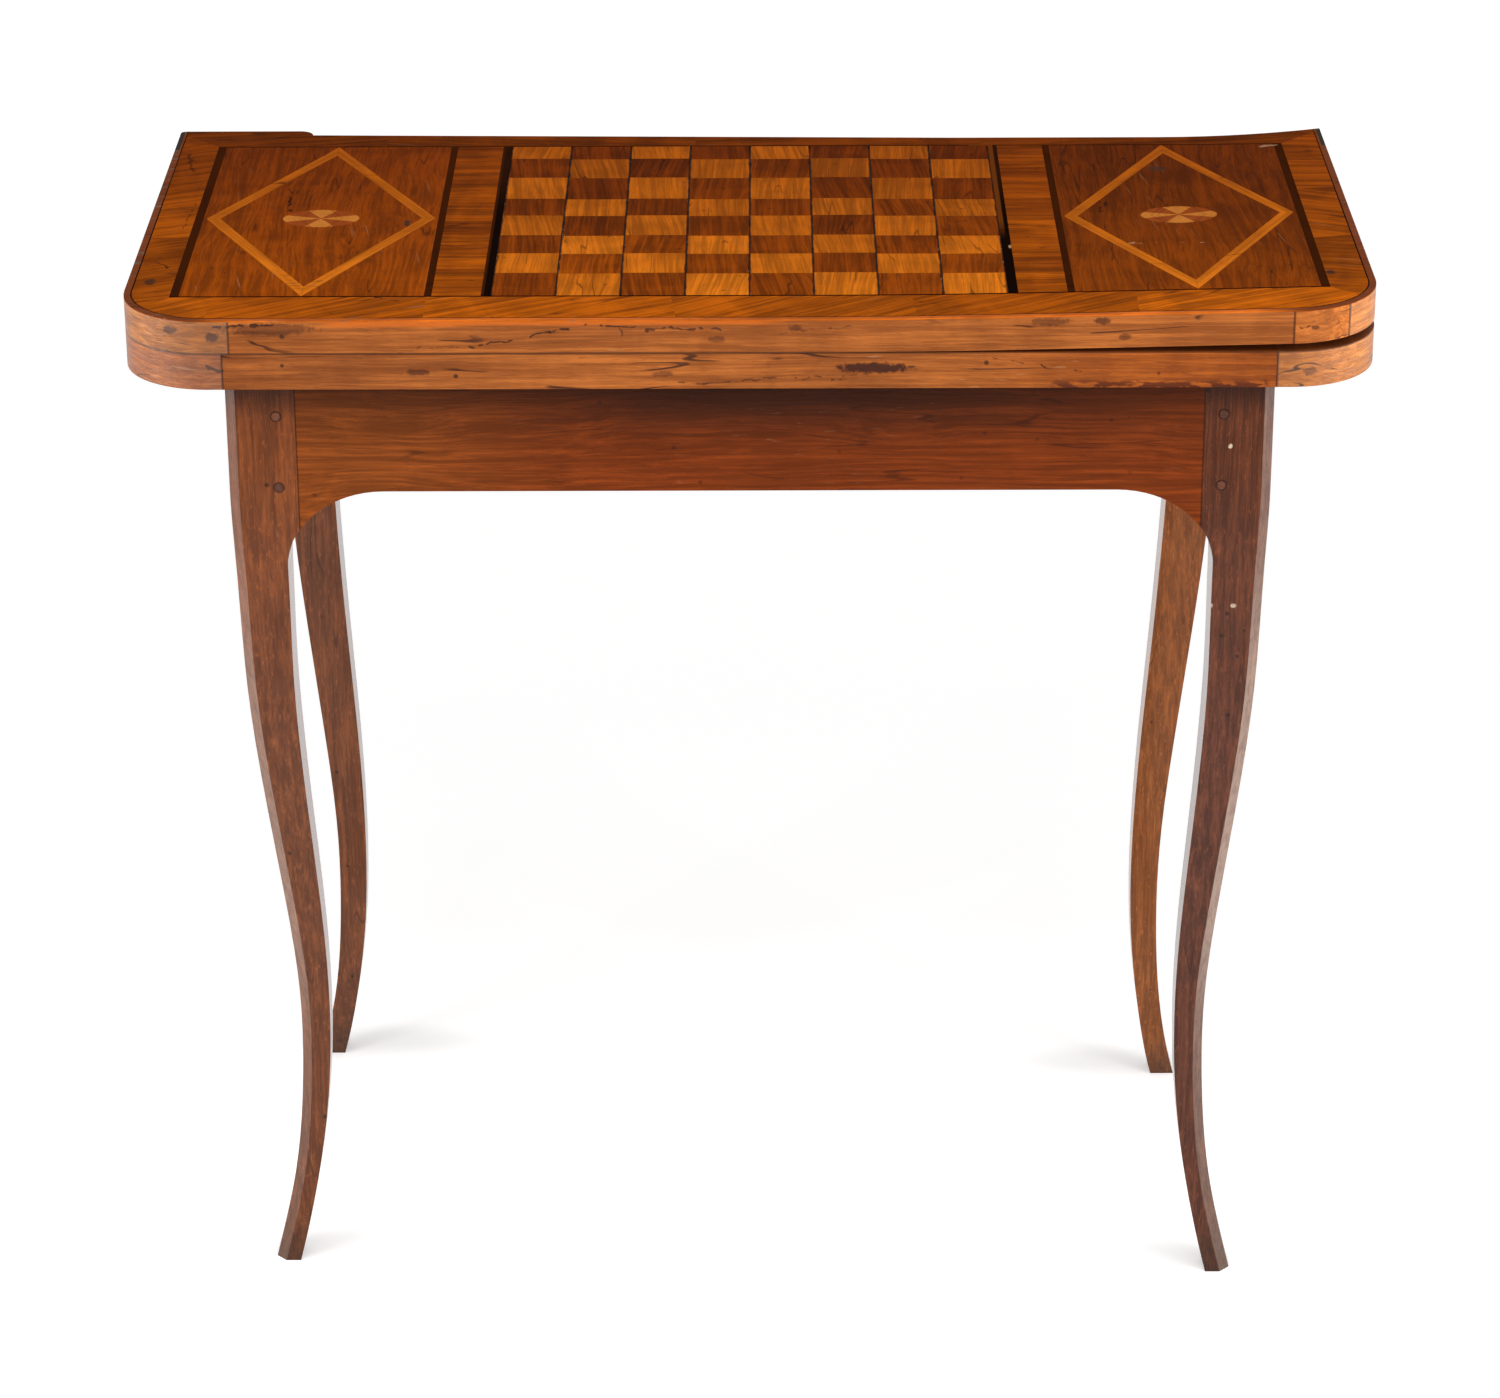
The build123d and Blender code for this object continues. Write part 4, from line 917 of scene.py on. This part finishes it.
class GAMESTABLE_OT_base(bpy.types.Operator):
    """Finish the legs, aprons, pegs and card well"""

    bl_idname = "gamestable.base"
    bl_label = "Frame"

    def execute(self, context):
        finish = context.scene.gamestable_finish
        apron_material("long_aprons", finish, False)
        paint("long_aprons", "front_apron", "back_apron")
        apron_material("side_aprons", finish, True)
        paint("side_aprons", "left_apron", "right_apron")
        for name, light, dark, rub_and_highlight, seed in (
            ("front_left_leg", linear(138, 78, 44), linear(92, 50, 29), 0.3, 1.0),
            ("front_right_leg", linear(118, 66, 44), linear(72, 38, 26), 0.6, 2.0),
            ("back_left_leg", linear(136, 78, 46), linear(94, 53, 32), 0.3, 3.0),
            ("back_right_leg", linear(164, 95, 47), linear(118, 66, 32), 0.3, 4.0),
        ):
            leg_material(name, finish, light, dark, rub_and_highlight, seed)
            paint(name)
        plain_wood_material("peg_wood", finish, linear(116, 62, 36), linear(74, 38, 22))
        paint("peg_wood", "joint_pegs")
        plain_wood_material("well_wood", finish, linear(150, 104, 66), linear(92, 58, 34))
        paint("well_wood", "well_bearers", "well_bottom", "pivot_rail")
        return {"FINISHED"}


class GAMESTABLE_OT_ironwork(bpy.types.Operator):
    """Finish the strap hinges and the pivot"""

    bl_idname = "gamestable.ironwork"
    bl_label = "Ironwork"

    def execute(self, context):
        finish = context.scene.gamestable_finish
        iron_material("strap_iron", finish, 1.0)
        for hand in ("left", "right"):
            paint("strap_iron", f"lower_{hand}_strap", f"upper_{hand}_strap")
        paint("strap_iron", "hinge_rivets")
        iron_material("screw_iron", finish, 1.5)
        paint("screw_iron", "lower_strap_screws", "upper_strap_screws", "pivot_screws")
        iron_material("pivot_iron", finish, 1.2)
        paint("pivot_iron", "pivot_pin", "pivot_washer", "pivot_nut")
        return {"FINISHED"}


# Warp of the upper leaf, as its wood is bent: which way, from where, over what length, how steep
warp_turn = radians(35)
warp_start = 0.137
warp_bend = 0.12
warp_slope = tan(radians(1.43))

# Baize linings: how many points, and their sizes in metres
cloth_columns = 110
cloth_rows = 56
cloth_inset = 0.0006
cloth_thickness = 0.0005
cloth_clearance = 0.00025
nap_height = 0.00012
lining_depth = 0.001


def warp_lift(x, y):
    """Lift of the warped corner in plan: none before its start, a parabola over the bend, then a slope."""
    beyond = np.clip(x * cos(warp_turn) - y * sin(warp_turn) - warp_start, 0, None)
    bent = warp_slope * beyond**2 / (2 * warp_bend)
    return np.where(beyond < warp_bend, bent, warp_slope * (beyond - warp_bend / 2))


def cloth_faces(columns, rows):
    """Quads of a grid seen from below, of the same grid seen from above, and of the wall round both."""
    grid = np.arange(columns * rows).reshape(rows, columns)
    corners = [grid[:-1, :-1], grid[:-1, 1:], grid[1:, 1:], grid[1:, :-1]]
    quads = np.stack(corners, axis=2).reshape(-1, 4)
    rim = np.concatenate([grid[0, :-1], grid[:-1, -1], grid[-1, :0:-1], grid[:0:-1, 0]])
    ahead = np.roll(rim, -1)
    wall = np.stack([rim, ahead, ahead + grid.size, rim + grid.size], axis=1)
    return np.concatenate([quads[:, ::-1], quads + grid.size, wall])


def lining(name, node, facing, warped):
    """Baize as a thin cloth: z(x, y) = seat + lift(x, y) + nap(x, y), the nap a sum of two slow sines."""
    low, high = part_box(node)
    across = np.linspace(low[0] + cloth_inset, high[0] - cloth_inset, cloth_columns)
    along = np.linspace(low[1] + cloth_inset, high[1] - cloth_inset, cloth_rows)
    x, y = np.meshgrid(across, along)
    nap = nap_height * (np.sin(x * 61 + 3 * np.sin(y * 17)) + np.sin(y * 83 + 2 * np.sin(x * 13)))
    bed = low[2] if facing > 0 else low[2] + lining_depth
    z = bed + facing * (cloth_clearance + 2 * nap_height + nap) + (warp_lift(x, y) if warped else 0)
    sides = [np.stack([x, y, z + facing * rise], axis=2).reshape(-1, 3) for rise in (0, cloth_thickness)]
    faces = cloth_faces(cloth_columns, cloth_rows)
    if facing < 0:
        faces = faces[:, ::-1]
    mesh = bpy.data.meshes.new(name)
    mesh.from_pydata(np.concatenate(sides).tolist(), [], faces.tolist())
    mesh.polygons.foreach_set("use_smooth", np.ones(len(mesh.polygons), dtype=bool))
    mesh.update()
    mesh.materials.append(bpy.data.materials["baize_finish"])
    cloth = bpy.data.objects.new(name, mesh)
    bpy.context.scene.collection.objects.link(cloth)
    return cloth, (high[0] - low[0] - 2 * cloth_inset, high[1] - low[1] - 2 * cloth_inset)


class GAMESTABLE_OT_linings(bpy.types.Operator):
    """Stretch the baize linings over both leaves"""

    bl_idname = "gamestable.linings"
    bl_label = "Baize"

    def execute(self, context):
        baize_material(context.scene.gamestable_finish)
        for node, body, facing, warped, bed in (
            ("lower_baize", "lower_leaf", 1, False, "lower_panel"),
            ("upper_baize", "upper_leaf", -1, True, "upper_panel"),
        ):
            cloth, flat = lining(f"{node}_cloth", node, facing, warped)
            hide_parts(node)
            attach(cloth, body)
        return {"FINISHED"}


# Half the floor's width in metres, and the width of the camera's sensor in millimetres
floor_half = 9
sensor_width = 36


def softbox(name, place, target, size, power, height=None):
    """Area lamp that faces a target."""
    lamp = bpy.data.lights.new(name, "AREA")
    lamp.shape = "RECTANGLE"
    lamp.size = size
    lamp.size_y = height or size
    lamp.energy = power
    lamp_object = bpy.data.objects.new(name, lamp)
    bpy.context.scene.collection.objects.link(lamp_object)
    aim = Vector(target) - Vector(place)
    turned = aim.to_track_quat("-Z", "Y").to_matrix().to_4x4()
    lamp_object.matrix_world = Matrix.Translation(place) @ turned


def hang_lamps(scene, studio):
    """White air all round, a softbox above, and two lamps on either side."""
    world = bpy.data.worlds.new("studio_air")
    world.use_nodes = True
    scene.world = world
    background = world.node_tree.nodes["Background"]
    background.inputs["Color"].default_value = (1, 1, 1, 1)
    background.inputs["Strength"].default_value = studio.sky
    softbox("overhead_softbox", (0, -1.2, 2.6), (0, 0, 0.6), 1.8, studio.overhead)
    for hand, side in (("left", -1), ("right", 1)):
        softbox(f"{hand}_softbox", (2.3 * side, -1.7, 1.1), (0, 0, 0.4), 0.9, studio.side)
        softbox(f"{hand}_panel_light", (2.15 * side, -0.55, 0.36), (0, -0.2, 0.5), 1.3, studio.flank, 0.7)


def floor_material():
    """Pale floor that shows white to the camera, its glow raised far off and under the table as painted light,
    with a painted shadow beside each foot.
    """
    tree, place = new_material("floor")
    shader = tree.tree.nodes["Principled BSDF"]
    shader.inputs["Base Color"].default_value = (0.9, 0.9, 0.9, 1)
    shader.inputs["Roughness"].default_value = 1
    shader.inputs["Specular IOR Level"].default_value = 0
    shader.inputs["Emission Color"].default_value = (1, 1, 1, 1)
    path = tree.add("LightPath", {}).outputs
    mirrored = tree.math("MAXIMUM", path["Is Glossy Ray"], path["Is Transmission Ray"])
    seen = tree.math("MAXIMUM", path["Is Camera Ray"], mirrored)
    away = tree.length(tree.vector("MULTIPLY", place, (1, 1, 0)))
    # Painted light: the glow rises far off and under the table, where the lamps' light falls off and the
    # table's shadow would show
    glow = tree.math("MULTIPLY_ADD", tree.smooth(away, 0.9, 4), 0.28, 0.33)
    glow = tree.math("MULTIPLY_ADD", tree.smooth(away, 0.9, 0.1), 0.12, glow)
    # Painted shadow beside each foot, stretched inward
    for foot_x, foot_y in feet:
        from_foot = tree.vector("SUBTRACT", place, (0.86 * foot_x, foot_y + 0.012, 0))
        painted_foot_shadow = tree.length(tree.vector("MULTIPLY", from_foot, (1, 2.6, 0)))
        glow = tree.math("MULTIPLY_ADD", tree.smooth(painted_foot_shadow, 0.095, 0.015), -0.16, glow)
    tree.feed(shader.inputs["Emission Strength"], tree.math("MULTIPLY", seen, glow))


def lay_floor(scene):
    """Flat square floor under the feet."""
    corners = [(-1, -1), (1, -1), (1, 1), (-1, 1)]
    floor = bpy.data.meshes.new("floor")
    floor.from_pydata([(floor_half * x, floor_half * y, 0) for x, y in corners], [], [(0, 1, 2, 3)])
    floor_material()
    floor.materials.append(bpy.data.materials["floor_finish"])
    floor_object = bpy.data.objects.new("floor", floor)
    scene.collection.objects.link(floor_object)


def set_camera(scene, studio):
    """Camera at its stand, turned, tilted and rolled."""
    camera = bpy.data.cameras.new("camera")
    camera.lens = studio.focal
    camera.sensor_width = sensor_width
    camera_object = bpy.data.objects.new("camera", camera)
    scene.collection.objects.link(camera_object)
    turn, tilt, roll = studio.turn, studio.tilt, studio.roll
    ahead = Vector((sin(turn) * cos(tilt), cos(turn) * cos(tilt), -sin(tilt)))
    level = Vector((cos(turn), -sin(turn), 0))
    above = level.cross(ahead)
    right = cos(roll) * level + sin(roll) * above
    above = cos(roll) * above - sin(roll) * level
    turned = Matrix((right, above, -ahead)).transposed().to_4x4()
    camera_object.matrix_world = Matrix.Translation(studio.stand) @ turned
    scene.camera = camera_object


class GAMESTABLE_OT_stage(bpy.types.Operator):
    """Lay the floor, hang the lamps and set up the camera"""

    bl_idname = "gamestable.stage"
    bl_label = "Stage"

    def execute(self, context):
        studio = context.scene.gamestable_studio
        context.scene.view_settings.view_transform = "Standard"
        lay_floor(context.scene)
        hang_lamps(context.scene, studio)
        set_camera(context.scene, studio)
        return {"FINISHED"}


steps = ("groups", "top", "leaves", "base", "ironwork", "linings", "stage")


class GAMESTABLE_PT_panel(bpy.types.Panel):
    """Steps and settings of the games table"""

    bl_label = "Games Table"
    bl_idname = "GAMESTABLE_PT_panel"
    bl_space_type = "VIEW_3D"
    bl_region_type = "UI"
    bl_category = "Games Table"

    def draw(self, context):
        for group in (context.scene.gamestable_finish, context.scene.gamestable_studio):
            for setting in group.bl_rna.properties:
                if setting.identifier not in ("name", "rna_type"):
                    self.layout.prop(group, setting.identifier)
        for step in steps:
            self.layout.operator(f"gamestable.{step}")


classes = (
    Finish,
    Studio,
    GAMESTABLE_OT_groups,
    GAMESTABLE_OT_top,
    GAMESTABLE_OT_leaves,
    GAMESTABLE_OT_base,
    GAMESTABLE_OT_ironwork,
    GAMESTABLE_OT_linings,
    GAMESTABLE_OT_stage,
    GAMESTABLE_PT_panel,
)


def register():
    for cls in classes:
        bpy.utils.register_class(cls)
    bpy.types.Scene.gamestable_finish = bpy.props.PointerProperty(type=Finish)
    bpy.types.Scene.gamestable_studio = bpy.props.PointerProperty(type=Studio)


def unregister():
    del bpy.types.Scene.gamestable_studio
    del bpy.types.Scene.gamestable_finish
    for cls in reversed(classes):
        bpy.utils.unregister_class(cls)


def main():
    register()
    for step in steps:
        getattr(bpy.ops.gamestable, step)()


if __name__ == "__main__":
    main()
